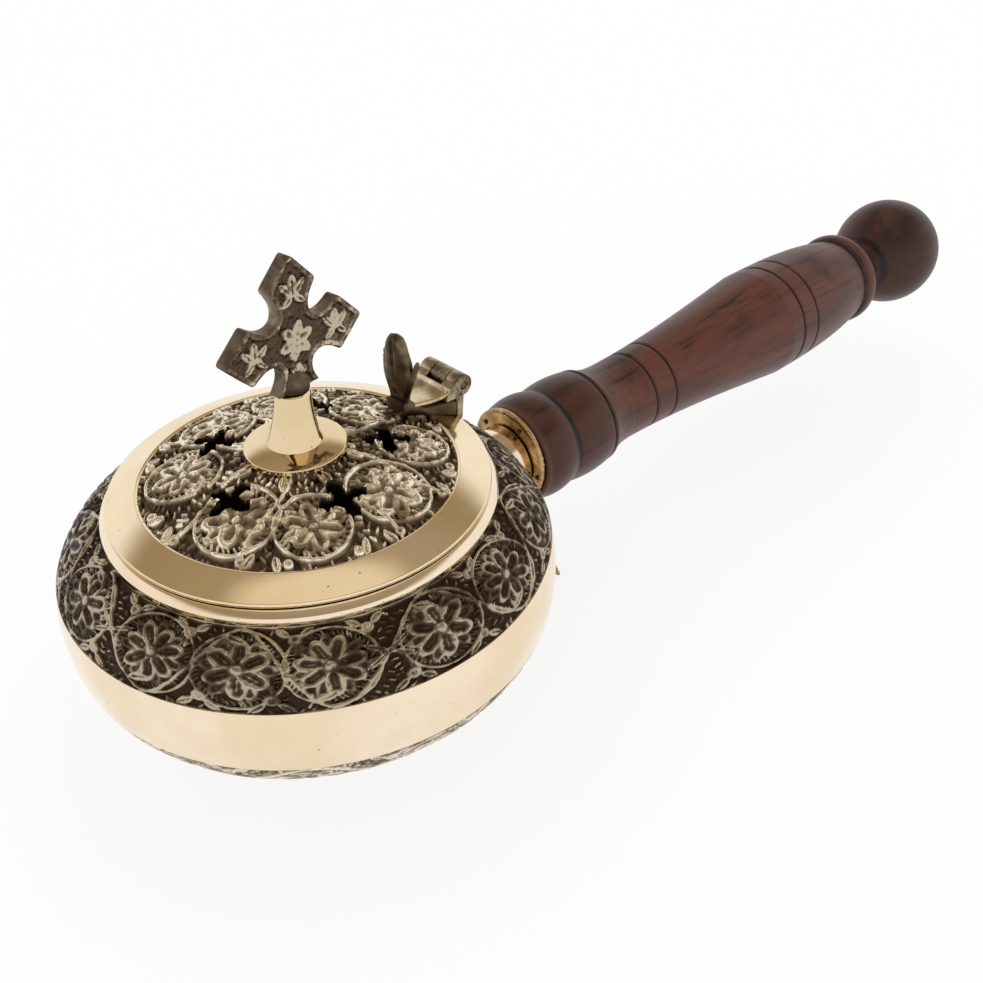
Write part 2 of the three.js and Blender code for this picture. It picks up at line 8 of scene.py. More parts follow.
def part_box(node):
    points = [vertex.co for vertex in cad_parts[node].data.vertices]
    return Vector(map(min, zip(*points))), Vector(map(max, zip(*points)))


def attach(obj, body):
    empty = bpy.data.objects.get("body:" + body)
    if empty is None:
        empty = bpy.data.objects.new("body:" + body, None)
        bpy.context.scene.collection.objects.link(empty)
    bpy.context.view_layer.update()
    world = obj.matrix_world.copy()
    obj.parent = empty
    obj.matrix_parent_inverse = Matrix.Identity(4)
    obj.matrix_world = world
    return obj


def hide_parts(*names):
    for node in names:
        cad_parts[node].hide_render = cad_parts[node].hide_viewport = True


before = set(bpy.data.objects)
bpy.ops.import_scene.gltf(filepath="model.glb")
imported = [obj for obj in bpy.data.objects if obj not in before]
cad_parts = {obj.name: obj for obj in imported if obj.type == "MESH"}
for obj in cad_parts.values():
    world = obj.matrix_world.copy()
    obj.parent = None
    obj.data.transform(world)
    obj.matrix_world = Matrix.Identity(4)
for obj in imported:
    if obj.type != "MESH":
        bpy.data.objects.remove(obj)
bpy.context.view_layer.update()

# The bowl is cast in brass and turned on a lathe: the collar, the belly and the foot are polished,
# and two bands of scroll ornament are left as they came from the mould, dark in their hollows.
# Sizes are in millimetres about the middle of the foot, as they are in the part.
MM = 0.001
BOWL_WALL = 2.4
FOOT_RADIUS, FOOT_HEIGHT, FOOT_NECK = 24.0, 3.0, 2.2
FOOT_HOLLOW, HOLLOW_DEPTH, BOWL_FLOOR, FLOOR_FLAT = 8.0, 0.5, 6.4, 12.0
UNDER_RADIUS, UNDER_HEIGHT, UNDER_BULGE = 40.6, 20.4, 1.6
BAND_RADIUS, BAND_BOTTOM, BAND_TOP, BAND_SWELL = 50.6, 31.8, 46.0, 0.8
COLLAR_RADIUS, SHOULDER_TOP, SHOULDER_BULGE = 39.8, 56.6, 1.7
COLLAR_TOP, COLLAR_CHAMFER, MOUTH_RADIUS = 59.3, 1.3, 36.8
BOWL_SIDES = 288
RELIEF_DEPTH = 0.62
RELIEF_STEP = 0.22
SHOULDER_ROSETTES = [172.7, 198.8, 219.7, 240.2, 266.5, 289.5]
SHOULDER_UNSEEN = 9
UNDER_ROSETTES = 13
MEDALLION_STRETCH = 1.26

cast_seed = np.random.default_rng(41)


def arc(start, end, bulge, steps):
    """Points from start to end on an arc that bulges to the left of the line between them."""
    (ax, ay), (bx, by) = start, end
    chord = math.hypot(bx - ax, by - ay)
    radius = (chord * chord / 4 + bulge * bulge) / (2 * bulge)
    half = math.asin(chord / 2 / radius)
    along = ((bx - ax) / chord, (by - ay) / chord)
    points = []
    for i in range(steps + 1):
        turn = half * (2 * i / steps - 1)
        run = chord / 2 + radius * math.sin(turn)
        rise = bulge - radius * (1 - math.cos(turn))
        points.append((ax + along[0] * run - along[1] * rise, ay + along[1] * run + along[0] * rise))
    return points


def rounded(points, radius, steps=3):
    """The same open outline with its inner corners rounded off."""
    result = [points[0]]
    for before, corner, after in zip(points, points[1:], points[2:]):
        c = np.array(corner, float)
        a, b = np.array(before, float) - c, np.array(after, float) - c
        la, lb = np.linalg.norm(a), np.linalg.norm(b)
        cut = min(radius, 0.45 * la, 0.45 * lb)
        if cut < 1e-6 or np.dot(a, b) / (la * lb) < -0.985:
            result.append(corner)
            continue
        start, end = c + a / la * cut, c + b / lb * cut
        for i in range(steps + 1):
            t = i / steps
            result.append(tuple((1 - t) ** 2 * start + 2 * t * (1 - t) * c + t * t * end))
    result.append(points[-1])
    return result


def piece(name, shell, body, slot, node, *materials, smooth=45, heights=None):
    """An object of the censer from a shell in millimetres, riding on its body and standing for a
    node. Heights are a carving's, kept on the mesh, where the metal's colour reads them."""
    vertices, faces = shell
    mesh = bpy.data.meshes.new(name)
    mesh.from_pydata([tuple(v) for v in np.asarray(vertices, float) * MM], [], faces)
    mesh.validate()
    for material in materials:
        mesh.materials.append(material)
    mesh.set_sharp_from_angle(angle=math.radians(smooth))
    if heights is not None:
        layer = mesh.attributes.new("carved", "FLOAT", "POINT")
        layer.data.foreach_set("value", np.asarray(heights, np.float32))
    obj = bpy.data.objects.new(name, mesh)
    bpy.context.scene.collection.objects.link(obj)
    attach(obj, body)
    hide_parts(node)
    return obj


def grid_faces(rows, columns, close_rows=False, close_columns=True, start=0):
    """Faces of a grid of vertices that were listed row by row."""
    faces = []
    for r in range(rows if close_rows else rows - 1):
        for c in range(columns if close_columns else columns - 1):
            right, up = (c + 1) % columns, (r + 1) % rows
            faces.append((start + r * columns + c, start + r * columns + right,
                          start + up * columns + right, start + up * columns + c))
    return faces


def turned(points, sides):
    """Vertices and faces of a solid turned about +Z from points (radius, height), first to last
    up the outside. Where an end lies on the axis, its fan closes it; else the outline is a loop."""
    points = list(points)
    bottom = points.pop(0) if points[0][0] == 0 else None
    top = points.pop() if points[-1][0] == 0 else None
    outline = np.array(points, float)
    angle = np.arange(sides) * 2 * math.pi / sides
    vertices = np.empty((len(outline), sides, 3))
    vertices[..., 0] = outline[:, :1] * np.cos(angle)
    vertices[..., 1] = outline[:, :1] * np.sin(angle)
    vertices[..., 2] = outline[:, 1:]
    vertices = [tuple(v) for v in vertices.reshape(-1, 3)]
    faces = grid_faces(len(outline), sides, close_rows=bottom is None)
    last = (len(outline) - 1) * sides
    if bottom:
        vertices.append((0, 0, bottom[1]))
        faces += [(len(vertices) - 1, (c + 1) % sides, c) for c in range(sides)]
    if top:
        vertices.append((0, 0, top[1]))
        faces += [(len(vertices) - 1, last + c, last + (c + 1) % sides) for c in range(sides)]
    return vertices, faces


def joined(*shells):
    """Several closed shells as one list of vertices and one of faces."""
    vertices, faces = [], []
    for more_vertices, more_faces in shells:
        start = len(vertices)
        vertices += [tuple(v) for v in more_vertices]
        faces += [tuple(i + start for i in face) for face in more_faces]
    return vertices, faces


def run_along(path):
    """How far each point of a line is from its start, measured along it."""
    return np.concatenate([[0], np.cumsum(np.linalg.norm(np.diff(path, axis=0), axis=1))])


def outward(path):
    """The outward direction at each point of an outline."""
    slope = np.gradient(path, axis=0)
    slope /= np.linalg.norm(slope, axis=1)[:, None]
    return np.stack([slope[:, 1], -slope[:, 0]], axis=1)


def out_from(x, y, reach, turn):
    """The place at a reach from (x, y) in the direction of turn."""
    return x + reach * math.cos(turn), y + reach * math.sin(turn)


class Carving:
    """Ornament cut by hand on a sheet, kept as a map of heights from 0, the ground, to 1, the
    tops. Places on the sheet are (across, up) in millimetres; a sheet may close on itself."""

    def __init__(self, left, low, width, height, step, closed=False):
        self.left, self.low, self.width, self.closed = left, low, width, closed
        self.columns = int(round(width / step)) + (0 if closed else 1)
        self.rows = int(round(height / step)) + 1
        self.step_x = width / (self.columns if closed else self.columns - 1)
        self.step_y = height / (self.rows - 1)
        self.height = np.zeros((self.rows, self.columns))

    def places(self):
        """All the map's places, across and up."""
        return np.meshgrid(self.left + np.arange(self.columns) * self.step_x,
                           self.low + np.arange(self.rows) * self.step_y)

    def around(self, x, y, radius):
        """The part of the map near a place, and the distance from it there in shares of radius."""
        c0 = int(math.floor((x - radius - self.left) / self.step_x))
        c1 = int(math.ceil((x + radius - self.left) / self.step_x)) + 1
        r0 = max(int(math.floor((y - radius - self.low) / self.step_y)), 0)
        r1 = max(min(int(math.ceil((y + radius - self.low) / self.step_y)) + 1, self.rows), r0)
        if not self.closed:
            c0, c1 = max(c0, 0), max(min(c1, self.columns), max(c0, 0))
        xs = self.left + np.arange(c0, c1) * self.step_x - x
        ys = self.low + np.arange(r0, r1) * self.step_y - y
        away = np.sqrt(xs[None, :] ** 2 + ys[:, None] ** 2) / radius
        return np.ix_(np.arange(r0, r1), np.arange(c0, c1) % self.columns), away

    def dab(self, x, y, radius, rise, flat=0.0):
        """One touch of the tool: a round spot, domed or with a flat top."""
        place, away = self.around(x, y, radius)
        spot = rise * np.sqrt(np.clip(1 - np.clip((away - flat) / (1 - flat), 0, 1) ** 2, 0, 1))
        self.height[place] = np.maximum(self.height[place], np.where(away < 1, spot, 0))

    def along(self, points, radius, touch):
        """Repeats a touch of the tool along points."""
        path = np.array(points, float)
        length = run_along(path)
        count = max(int(length[-1] / (0.6 * radius)), 1)
        for i in range(count + 1):
            share = i / count
            touch(np.interp(share * length[-1], length, path[:, 0]),
                  np.interp(share * length[-1], length, path[:, 1]), share)

    def line(self, points, radius, rise, end_radius=None, end_rise=None):
        """A raised line along points, which may taper to its end."""
        end_radius = radius if end_radius is None else end_radius
        end_rise = rise if end_rise is None else end_rise
        self.along(points, min(radius, end_radius), lambda x, y, t: self.dab(
            x, y, radius + (end_radius - radius) * t, rise + (end_rise - rise) * t))

    def cut(self, points, radius, floor):
        """A groove along points, down to a height."""
        def gouge(x, y, _):
            place, away = self.around(x, y, radius)
            ground = np.where(away < 1, floor + (1 - floor) * away ** 2, 9)
            self.height[place] = np.minimum(self.height[place], ground)
        self.along(points, radius, gouge)

    def dent(self, x, y, radius, floor):
        """A round dent at a place, down to a height."""
        self.cut([(x, y), (x + 0.01, y)], radius, floor)

    def petal(self, x, y, turn, reach, width, rise, sunk):
        """A broad petal from (x, y): swelling to a round tip, with a raised rim and a middle that is
        sunk by a share of its rise. A deeply sunk one keeps a vein."""
        for i in range(8):
            t = i / 7
            self.dab(*out_from(x, y, reach * t, turn),
                     max(width / 2 * math.sin(math.pi * (0.16 + 0.62 * t)), 0.25), rise, flat=0.6)
        middle = [out_from(x, y, 0.22 * reach, turn), out_from(x, y, 0.78 * reach, turn)]
        self.cut(middle, (0.12 + 0.2 * sunk) * width, (1 - sunk) * rise)
        if sunk > 0.7:
            self.line(middle, 0.17, 0.75 * rise, end_radius=0.14)

    def leaf(self, x, y, turn, reach, width, rise):
        """A pointed leaf from (x, y) with a cut vein."""
        for i in range(9):
            t = i / 8
            self.dab(*out_from(x, y, reach * t, turn),
                     max(width / 2 * math.sin(math.pi * (0.14 + 0.8 * t)), 0.2), rise, flat=0.55)
        self.cut([out_from(x, y, 0.15 * reach, turn), out_from(x, y, 0.85 * reach, turn)], 0.2, 0.5 * rise)

    def spiral(self, x, y, radius, start, sweep, shrink, rise, thick):
        """A scroll that winds round (x, y) from start, its radius shrinking as it goes."""
        steps = 46
        points = [out_from(x, y, radius * (1 - shrink * i / steps), start + sweep * i / steps)
                  for i in range(steps + 1)]
        self.line(points, thick, rise, end_radius=thick * 0.8)

    def strokes(self, x, y, inner, outer, spacing, thick, rise):
        """Short strokes that stand all round (x, y) like rays."""
        count = int(2 * math.pi * (inner + outer) / 2 / spacing)
        for i in range(count):
            turn = 2 * math.pi * (i + cast_seed.uniform(-0.15, 0.15)) / count
            near, far = inner + cast_seed.uniform(0, 0.3), outer + cast_seed.uniform(-0.2, 0.1)
            self.line([out_from(x, y, near, turn), out_from(x, y, far, turn + 0.06)],
                      thick, rise * cast_seed.uniform(0.75, 1))

    def rosette(self, x, y, reach, petals, turn, rise, sunk):
        """A flower of broad petals round a small ringed knob, over a row of smaller petals."""
        for i in range(petals):
            lean = turn + (i + 0.5) * 2 * math.pi / petals + cast_seed.uniform(-0.12, 0.12)
            self.petal(*out_from(x, y, 0.4 * reach, lean), lean, 0.56 * reach,
                       reach * math.sin(math.pi / petals), 0.75 * rise, sunk)
        for i in range(petals):
            lean = turn + i * 2 * math.pi / petals + cast_seed.uniform(-0.1, 0.1)
            self.petal(*out_from(x, y, 0.2 * reach, lean), lean,
                       0.62 * reach * cast_seed.uniform(0.9, 1.08),
                       1.35 * reach * math.sin(math.pi / petals), rise, sunk)
        self.dent(x, y, 0.3 * reach, 0.2)
        self.dab(x, y, 0.15 * reach + 0.25, rise, flat=0.3)

    def hatch(self, centres, spacing, thick, rise, within=None):
        """Short strokes over the ground that is still bare, turned about the nearest centre."""
        places = np.array(centres, float)
        top = self.low + (self.rows - 1) * self.step_y
        for row, y in enumerate(np.arange(self.low + 0.5, top - 0.4, 0.9 * spacing)):
            first = self.left + spacing * (0.3 + 0.5 * (row % 2))
            for x in np.arange(first, self.left + self.width, spacing):
                px = x + cast_seed.uniform(-0.2, 0.2) * spacing
                py = y + cast_seed.uniform(-0.2, 0.2) * spacing
                if within and not within(px, py):
                    continue
                place, _ = self.around(px, py, 1.2 * thick)
                if self.height[place].size == 0 or self.height[place].max() > 0.1:
                    continue
                apart = places - (px, py)
                if self.closed:
                    apart[:, 0] = (apart[:, 0] + self.width / 2) % self.width - self.width / 2
                nearest = apart[np.argmin((apart ** 2).sum(axis=1))]
                turn = math.atan2(nearest[1], nearest[0]) + cast_seed.uniform(-0.35, 0.35)
                reach = 0.5 * spacing * cast_seed.uniform(0.7, 1.1)
                self.line([out_from(px, py, -reach, turn), out_from(px, py, reach, turn)],
                          thick, rise * cast_seed.uniform(0.6, 1))

    def rough(self, amount, grain):
        """The cast skin: the ground and the tops waver a little."""
        rows, columns = int(self.rows / grain) + 2, int(self.columns / grain) + 2
        coarse = cast_seed.uniform(-1, 1, (rows, columns))
        if self.closed:
            coarse[:, -1] = coarse[:, 0]
        r = np.linspace(0, rows - 1.001, self.rows)
        c = np.linspace(0, columns - 1.001, self.columns)
        if self.closed:
            c = np.arange(self.columns) * (columns - 1) / self.columns
        r0, c0 = r.astype(int), c.astype(int)
        fr, fc = (r - r0)[:, None], (c - c0)[None, :]
        fr, fc = fr * fr * (3 - 2 * fr), fc * fc * (3 - 2 * fc)
        top = coarse[np.ix_(r0, c0)] * (1 - fc) + coarse[np.ix_(r0, c0 + 1)] * fc
        low = coarse[np.ix_(r0 + 1, c0)] * (1 - fc) + coarse[np.ix_(r0 + 1, c0 + 1)] * fc
        self.height += amount * (top * (1 - fr) + low * fr)


def medallion(sheet, x, y, radius, turn, hand, petals, thick=0.32, sunk=0.85):
    """One loop of the vine: a scroll with rays inside it round a rosette, and a leaf on its end."""
    sweep = hand * 2 * math.pi * 0.94
    sheet.spiral(x, y, radius, turn, sweep, shrink=0.08, rise=1.0, thick=1.25 * thick)
    sheet.strokes(x, y, 0.76 * radius, 0.88 * radius, spacing=2.3 * thick, thick=0.8 * thick, rise=0.85)
    sheet.rosette(x, y, 0.76 * radius, petals, turn, rise=0.95, sunk=sunk)
    sheet.leaf(*out_from(x, y, 0.86 * radius, turn + sweep), turn + sweep + hand * 2.3,
               reach=0.42 * radius, width=0.26 * radius, rise=1.0)


def bud(sheet, x, y, turn, size):
    """A round bud on a short stalk, with a leaf on each side of it."""
    sheet.dab(x, y, size, rise=1.0, flat=0.5)
    sheet.dent(x, y, 0.4 * size, floor=0.5)
    for side in (-1, 1):
        lean = turn + side * 0.95
        sheet.leaf(*out_from(x, y, size, lean), lean, reach=1.9 * size, width=1.3 * size, rise=1.0)
    sheet.line([(x, y), out_from(x, y, -2 * size, turn)], radius=0.3, rise=0.9)


def spray(sheet, x, y, reach, width):
    """Leaves crossed on the vine where two medallions stand apart."""
    for quarter in range(4):
        lean = math.pi * (0.5 * quarter + (0.33 if quarter % 2 else 0.17))
        sheet.leaf(*out_from(x, y, 0.4, lean), lean, reach, width, rise=1.0)
    sheet.dab(x, y, 0.75, rise=1.0, flat=0.4)
    sheet.dent(x, y, 0.35, floor=0.5)


def vine_band(sheet, places, middle, radius):
    """A band of medallions on a vine that runs over one and under the next."""
    centres = [(place, middle) for place in places]
    steps = 14
    for i, place in enumerate(places):
        hand = 1 if i % 2 else -1
        following = places[(i + 1) % len(places)] + (sheet.width if i == len(places) - 1 else 0)
        run = following - place
        medallion(sheet, place, middle, radius, -hand * 0.5 * math.pi, hand, petals=6 + i % 2)
        vine = []
        for k in range(steps + 1):
            bend = math.cos(math.pi * k / steps)
            rise = hand * (radius + 0.2) * bend * (0.9 + 0.1 * bend * bend)
            vine.append((place + run * k / steps, middle - rise))
        sheet.line(vine, radius=0.42, rise=1.0)
        for side in (-1, 1):
            lean = 0.13 if side * hand > 0 else -0.13
            bud(sheet, place + (0.5 - lean) * run, middle + side * (radius - 1.9), side * math.pi / 2,
                size=1.25)
        if run > 2.25 * radius:
            spray(sheet, place + run / 2, middle, 0.55 * radius, 0.5 * (run - 2 * radius))
    sheet.hatch(centres, spacing=0.78, thick=0.26, rise=1.1)


def outline_places(outline, rows):
    """Points at even distances along an outline, the outward direction at each, and its length."""
    path = np.array(outline, float)
    run = run_along(path)
    at = np.linspace(0, run[-1], rows)
    points = np.stack([np.interp(at, run, path[:, 0]), np.interp(at, run, path[:, 1])], axis=1)
    return points, outward(points), run[-1]


def carved_ring(outline, sheet, sunk, edge=0.45):
    """A ring of carved metal: its outer side follows outline with the carving on it, sunk under
    the outline by the ground's depth and brought up to it at both edges. Returns the heights too."""
    points, out, length = outline_places(outline, sheet.rows)
    up = np.linspace(0, length, sheet.rows)
    border = np.clip(1 - np.minimum(up, length - up) / edge, 0, 1)[:, None]
    height = np.maximum(np.clip(sheet.height, -0.2, 1), border)
    lift = (height - 1) * sunk
    angle = np.arange(sheet.columns) * 2 * math.pi / sheet.columns
    radius = points[:, :1] + out[:, :1] * lift
    rise = points[:, 1:] + out[:, 1:] * lift
    back = points - out * (sunk + 0.8)
    shell = np.empty((sheet.rows + 4, sheet.columns, 3))
    shell[:sheet.rows, :, 0] = radius * np.cos(angle)
    shell[:sheet.rows, :, 1] = radius * np.sin(angle)
    shell[:sheet.rows, :, 2] = rise
    for i, share in enumerate((1, 2 / 3, 1 / 3, 0)):
        place = back[int(round(share * (sheet.rows - 1)))]
        shell[sheet.rows + i, :, 0] = place[0] * np.cos(angle)
        shell[sheet.rows + i, :, 1] = place[0] * np.sin(angle)
        shell[sheet.rows + i, :, 2] = place[1]
    heights = np.concatenate([height, np.zeros((4, sheet.columns))]).ravel()
    return (shell.reshape(-1, 3), grid_faces(sheet.rows + 4, sheet.columns, close_rows=True)), heights


def node_group(name, inputs, outputs):
    """An empty shader node group with float or vector inputs and its outputs."""
    group = bpy.data.node_groups.new(name, "ShaderNodeTree")
    for label, value in inputs:
        socket = group.interface.new_socket(label, in_out="INPUT", socket_type="NodeSocketFloat")
        socket.default_value = value
    for label, kind in outputs:
        group.interface.new_socket(label, in_out="OUTPUT", socket_type=kind)
    start = group.nodes.new("NodeGroupInput")
    end = group.nodes.new("NodeGroupOutput")
    return group, start, end


def object_places(nodes):
    """The place on the piece in metres, which every pattern starts from."""
    return nodes.new("ShaderNodeTexCoord").outputs["Object"]


def noise(tree, places, scale, detail=3.0, roughness=0.55):
    """A noise texture's value at places; scale is a number or a socket, in marks per metre."""
    texture = tree.nodes.new("ShaderNodeTexNoise")
    tree.links.new(places, texture.inputs["Vector"])
    if isinstance(scale, (int, float)):
        texture.inputs["Scale"].default_value = scale
    else:
        tree.links.new(scale, texture.inputs["Scale"])
    texture.inputs["Detail"].default_value = detail
    texture.inputs["Roughness"].default_value = roughness
    return texture.outputs["Fac"]


def math_node(tree, operation, first, second=0.5, clamp=False):
    """A Math node's value from numbers or sockets."""
    node = tree.nodes.new("ShaderNodeMath")
    node.operation = operation
    node.use_clamp = clamp
    for socket, value in zip(node.inputs, (first, second)):
        if isinstance(value, (int, float)):
            socket.default_value = value
        else:
            tree.links.new(value, socket)
    return node.outputs[0]


def carved_height(tree):
    """The carving's height that is kept on the piece."""
    node = tree.nodes.new("ShaderNodeAttribute")
    node.attribute_name = "carved"
    return node.outputs["Fac"]


def stretched(tree, places, scale):
    """Places scaled along their axes, so that marks there grow long or thin."""
    node = tree.nodes.new("ShaderNodeMapping")
    node.inputs["Scale"].default_value = scale
    tree.links.new(places, node.inputs["Vector"])
    return node.outputs["Vector"]


def between(tree, value, low, high):
    """How far a value has gone from low to high, from 0 to 1."""
    node = tree.nodes.new("ShaderNodeMapRange")
    node.interpolation_type = "SMOOTHSTEP"
    tree.links.new(value, node.inputs["Value"])
    node.inputs["From Min"].default_value = low
    node.inputs["From Max"].default_value = high
    return node.outputs["Result"]


def blended(tree, share, first, second):
    """A colour between two, each a colour or a socket."""
    node = tree.nodes.new("ShaderNodeMix")
    node.data_type = "RGBA"
    tree.links.new(share, node.inputs["Factor"])
    for socket, value in ((node.inputs[6], first), (node.inputs[7], second)):
        if isinstance(value, (tuple, list)):
            socket.default_value = (*value, 1)
        else:
            tree.links.new(value, socket)
    return node.outputs[2]


def colour(code):
    """A colour as Blender holds it, from its six hexadecimal digits."""
    parts = [int(code[i:i + 2], 16) / 255 for i in (0, 2, 4)]
    return tuple(c / 12.92 if c <= 0.04045 else ((c + 0.055) / 1.055) ** 2.4 for c in parts)


def spread(tree, value, low, high):
    """A value that goes from low to high where the given one goes from 0 to 1."""
    node = tree.nodes.new("ShaderNodeMapRange")
    tree.links.new(value, node.inputs["Value"])
    node.inputs["To Min"].default_value = low
    node.inputs["To Max"].default_value = high
    return node.outputs["Result"]


def bump(tree, height, strength, distance):
    """A normal from a height."""
    node = tree.nodes.new("ShaderNodeBump")
    node.inputs["Strength"].default_value = strength
    node.inputs["Distance"].default_value = distance
    tree.links.new(height, node.inputs["Height"])
    return node.outputs["Normal"]


def metal(name):
    """A material with a metallic surface, and its tree and surface node."""
    material = bpy.data.materials.new(name)
    material.use_nodes = True
    surface = material.node_tree.nodes["Principled BSDF"]
    surface.inputs["Metallic"].default_value = 1.0
    return material, material.node_tree, surface


def finished(tree, surface, tone, roughness, normal):
    """Joins a colour, a roughness and a normal to a material's surface."""
    for label, value in (("Base Color", tone), ("Roughness", roughness), ("Normal", normal)):
        tree.links.new(value, surface.inputs[label])


# What years of hands and air leave on brass: a patchy tone, fine pits from the casting, and the
# faint marks of the polishing wheel. Each brass takes its own amounts of them.
tarnish, tarnish_in, tarnish_out = node_group(
    "brass_tarnish",
    [("Patch size", 60.0), ("Pit size", 900.0), ("Pits", 0.5)],
    [("Patches", "NodeSocketFloat"), ("Pits", "NodeSocketFloat"), ("Marks", "NodeSocketFloat")],
)
tarnish_places = object_places(tarnish.nodes)
patches = noise(tarnish, tarnish_places, tarnish_in.outputs["Patch size"], detail=5.0)
tarnish.links.new(between(tarnish, patches, 0.35, 0.68), tarnish_out.inputs["Patches"])
pit_spots = tarnish.nodes.new("ShaderNodeTexVoronoi")
tarnish.links.new(tarnish_places, pit_spots.inputs["Vector"])
tarnish.links.new(tarnish_in.outputs["Pit size"], pit_spots.inputs["Scale"])
pit_hollows = math_node(tarnish, "SUBTRACT", 0.2, pit_spots.outputs["Distance"], clamp=True)
pit_places = between(tarnish, noise(tarnish, tarnish_places, scale=220.0, detail=2.0), 0.6, 0.66)
pit_depth = math_node(tarnish, "MULTIPLY", math_node(tarnish, "MULTIPLY", pit_hollows, pit_places), 5.0)
tarnish.links.new(math_node(tarnish, "MULTIPLY", pit_depth, tarnish_in.outputs["Pits"]),
                  tarnish_out.inputs["Pits"])
wheel_places = stretched(tarnish, tarnish_places, (1.0, 1.0, 26.0))
tarnish.links.new(noise(tarnish, wheel_places, scale=160.0, detail=4.0), tarnish_out.inputs["Marks"])


def tarnished(tree, patch_size, pit_size, pits):
    """The tarnish group placed in a material, with its own amounts."""
    node = tree.nodes.new("ShaderNodeGroup")
    node.node_tree = tarnish
    node.inputs["Patch size"].default_value = patch_size
    node.inputs["Pit size"].default_value = pit_size
    node.inputs["Pits"].default_value = pits
    return node


def polished_brass(name, bright, deep, roughness, patch_size=45.0):
    """Brass from the polishing wheel: two close tones, faint marks and a few casting pits."""
    material, tree, surface = metal(name)
    worn = tarnished(tree, patch_size, pit_size=700.0, pits=1.0)
    tone = blended(tree, worn.outputs["Patches"], colour(bright), colour(deep))
    pitted = blended(tree, worn.outputs["Pits"], tone, colour("4a3a28"))
    depth = math_node(tree, "SUBTRACT", math_node(tree, "MULTIPLY", worn.outputs["Marks"], 0.12),
                      worn.outputs["Pits"])
    finished(tree, surface, pitted, spread(tree, worn.outputs["Marks"], 0.75 * roughness, 1.35 * roughness),
             bump(tree, depth, strength=0.35, distance=0.0001))
    return material


HOLLOW_ROUGHNESS, RUBBED_ROUGHNESS = 0.42, 0.2


def antique_brass(name, hollow, side, top, low, high, blotches):
    """Cast brass darkened all over and rubbed bright again on the tops, by the carving's height."""
    material, tree, surface = metal(name)
    worn = tarnished(tree, patch_size=140.0, pit_size=1400.0, pits=0.6)
    waver = math_node(tree, "MULTIPLY", math_node(tree, "SUBTRACT", worn.outputs["Patches"], 0.5), blotches)
    level = math_node(tree, "ADD", carved_height(tree), waver)
    rubbed = between(tree, level, (low + high) / 2, high + 0.12)
    sides = between(tree, level, low - 0.15, (low + high) / 2)
    lower = blended(tree, sides, colour(hollow), colour(side))
    grain = noise(tree, object_places(tree.nodes), scale=2600.0, detail=3.0, roughness=0.7)
    finished(tree, surface, blended(tree, rubbed, lower, colour(top)),
             spread(tree, rubbed, HOLLOW_ROUGHNESS, RUBBED_ROUGHNESS),
             bump(tree, grain, strength=0.3, distance=0.00008))
    return material


bowl_brass = polished_brass("bowl_brass", bright="f6e4ca", deep="ecd6b4", roughness=0.1)
sooty_brass = polished_brass("sooty_brass", bright="7a6244", deep="3a2d20", roughness=0.4, patch_size=90.0)
bowl_ornament_brass = antique_brass("bowl_ornament_brass", hollow="372a1e", side="54473a", top="b3a58f",
                                    low=0.32, high=0.88, blotches=0.4)

under_outline = arc((UNDER_RADIUS, UNDER_HEIGHT), (BAND_RADIUS, BAND_BOTTOM), -SHOULDER_BULGE, steps=14)
belly_outline = arc((BAND_RADIUS, BAND_BOTTOM), (BAND_RADIUS, BAND_TOP), -BAND_SWELL, steps=20)
shoulder_outline = arc((BAND_RADIUS, BAND_TOP), (COLLAR_RADIUS, SHOULDER_TOP), -SHOULDER_BULGE, steps=18)
neck_outline = arc((FOOT_RADIUS - FOOT_NECK, FOOT_HEIGHT + FOOT_NECK), (UNDER_RADIUS, UNDER_HEIGHT),
                   -UNDER_BULGE, steps=14)


def inward(points, distance):
    """An outline moved by a distance to its inner side."""
    path = np.array(points, float)
    return [tuple(p) for p in path - outward(path) * distance]


sunk_wall = RELIEF_DEPTH + 0.25
outside = [(0, HOLLOW_DEPTH), (FOOT_HOLLOW, HOLLOW_DEPTH), (FOOT_RADIUS - FOOT_NECK, 0.2)]
outside += rounded([(FOOT_RADIUS - FOOT_NECK + 0.2, 0), (FOOT_RADIUS, 0), (FOOT_RADIUS, FOOT_HEIGHT),
                    (FOOT_RADIUS - FOOT_NECK, FOOT_HEIGHT + FOOT_NECK * 0.7)], 0.7)
outside += neck_outline[1:]
outside += inward(under_outline, sunk_wall)[1:-1]
outside += [(BAND_RADIUS - sunk_wall, BAND_BOTTOM - 0.02), *belly_outline,
            (BAND_RADIUS - sunk_wall, BAND_TOP + 0.02)]
outside += inward(shoulder_outline, sunk_wall)[1:-1]
outside += [(COLLAR_RADIUS - sunk_wall, SHOULDER_TOP - 0.15)]
outside += rounded([(COLLAR_RADIUS, SHOULDER_TOP - 0.05), (COLLAR_RADIUS, COLLAR_TOP - COLLAR_CHAMFER),
                    (COLLAR_RADIUS - COLLAR_CHAMFER, COLLAR_TOP), (MOUTH_RADIUS, COLLAR_TOP),
                    (MOUTH_RADIUS, SHOULDER_TOP - 1.2)], 0.35)
inside = inward(shoulder_outline, BOWL_WALL)[2:-2][::-1]
inside += inward(belly_outline, BOWL_WALL)[::-1][1:-1]
inside += inward(under_outline, BOWL_WALL)[::-1][:-1]
inside += [p for p in inward(neck_outline, BOWL_WALL)[::-1] if p[1] > BOWL_FLOOR + 1]
inside += [(FOOT_RADIUS - FOOT_NECK, BOWL_FLOOR), (FLOOR_FLAT, BOWL_FLOOR), (0, BOWL_FLOOR)]
bowl_body = piece("bowl_body", turned(outside + inside, BOWL_SIDES), "bowl_and_handle", "polished_brass",
                  "bowl", bowl_brass, sooty_brass)
for face in bowl_body.data.polygons:
    if min(face.vertices) >= len(outside) * BOWL_SIDES:
        face.material_index = 1


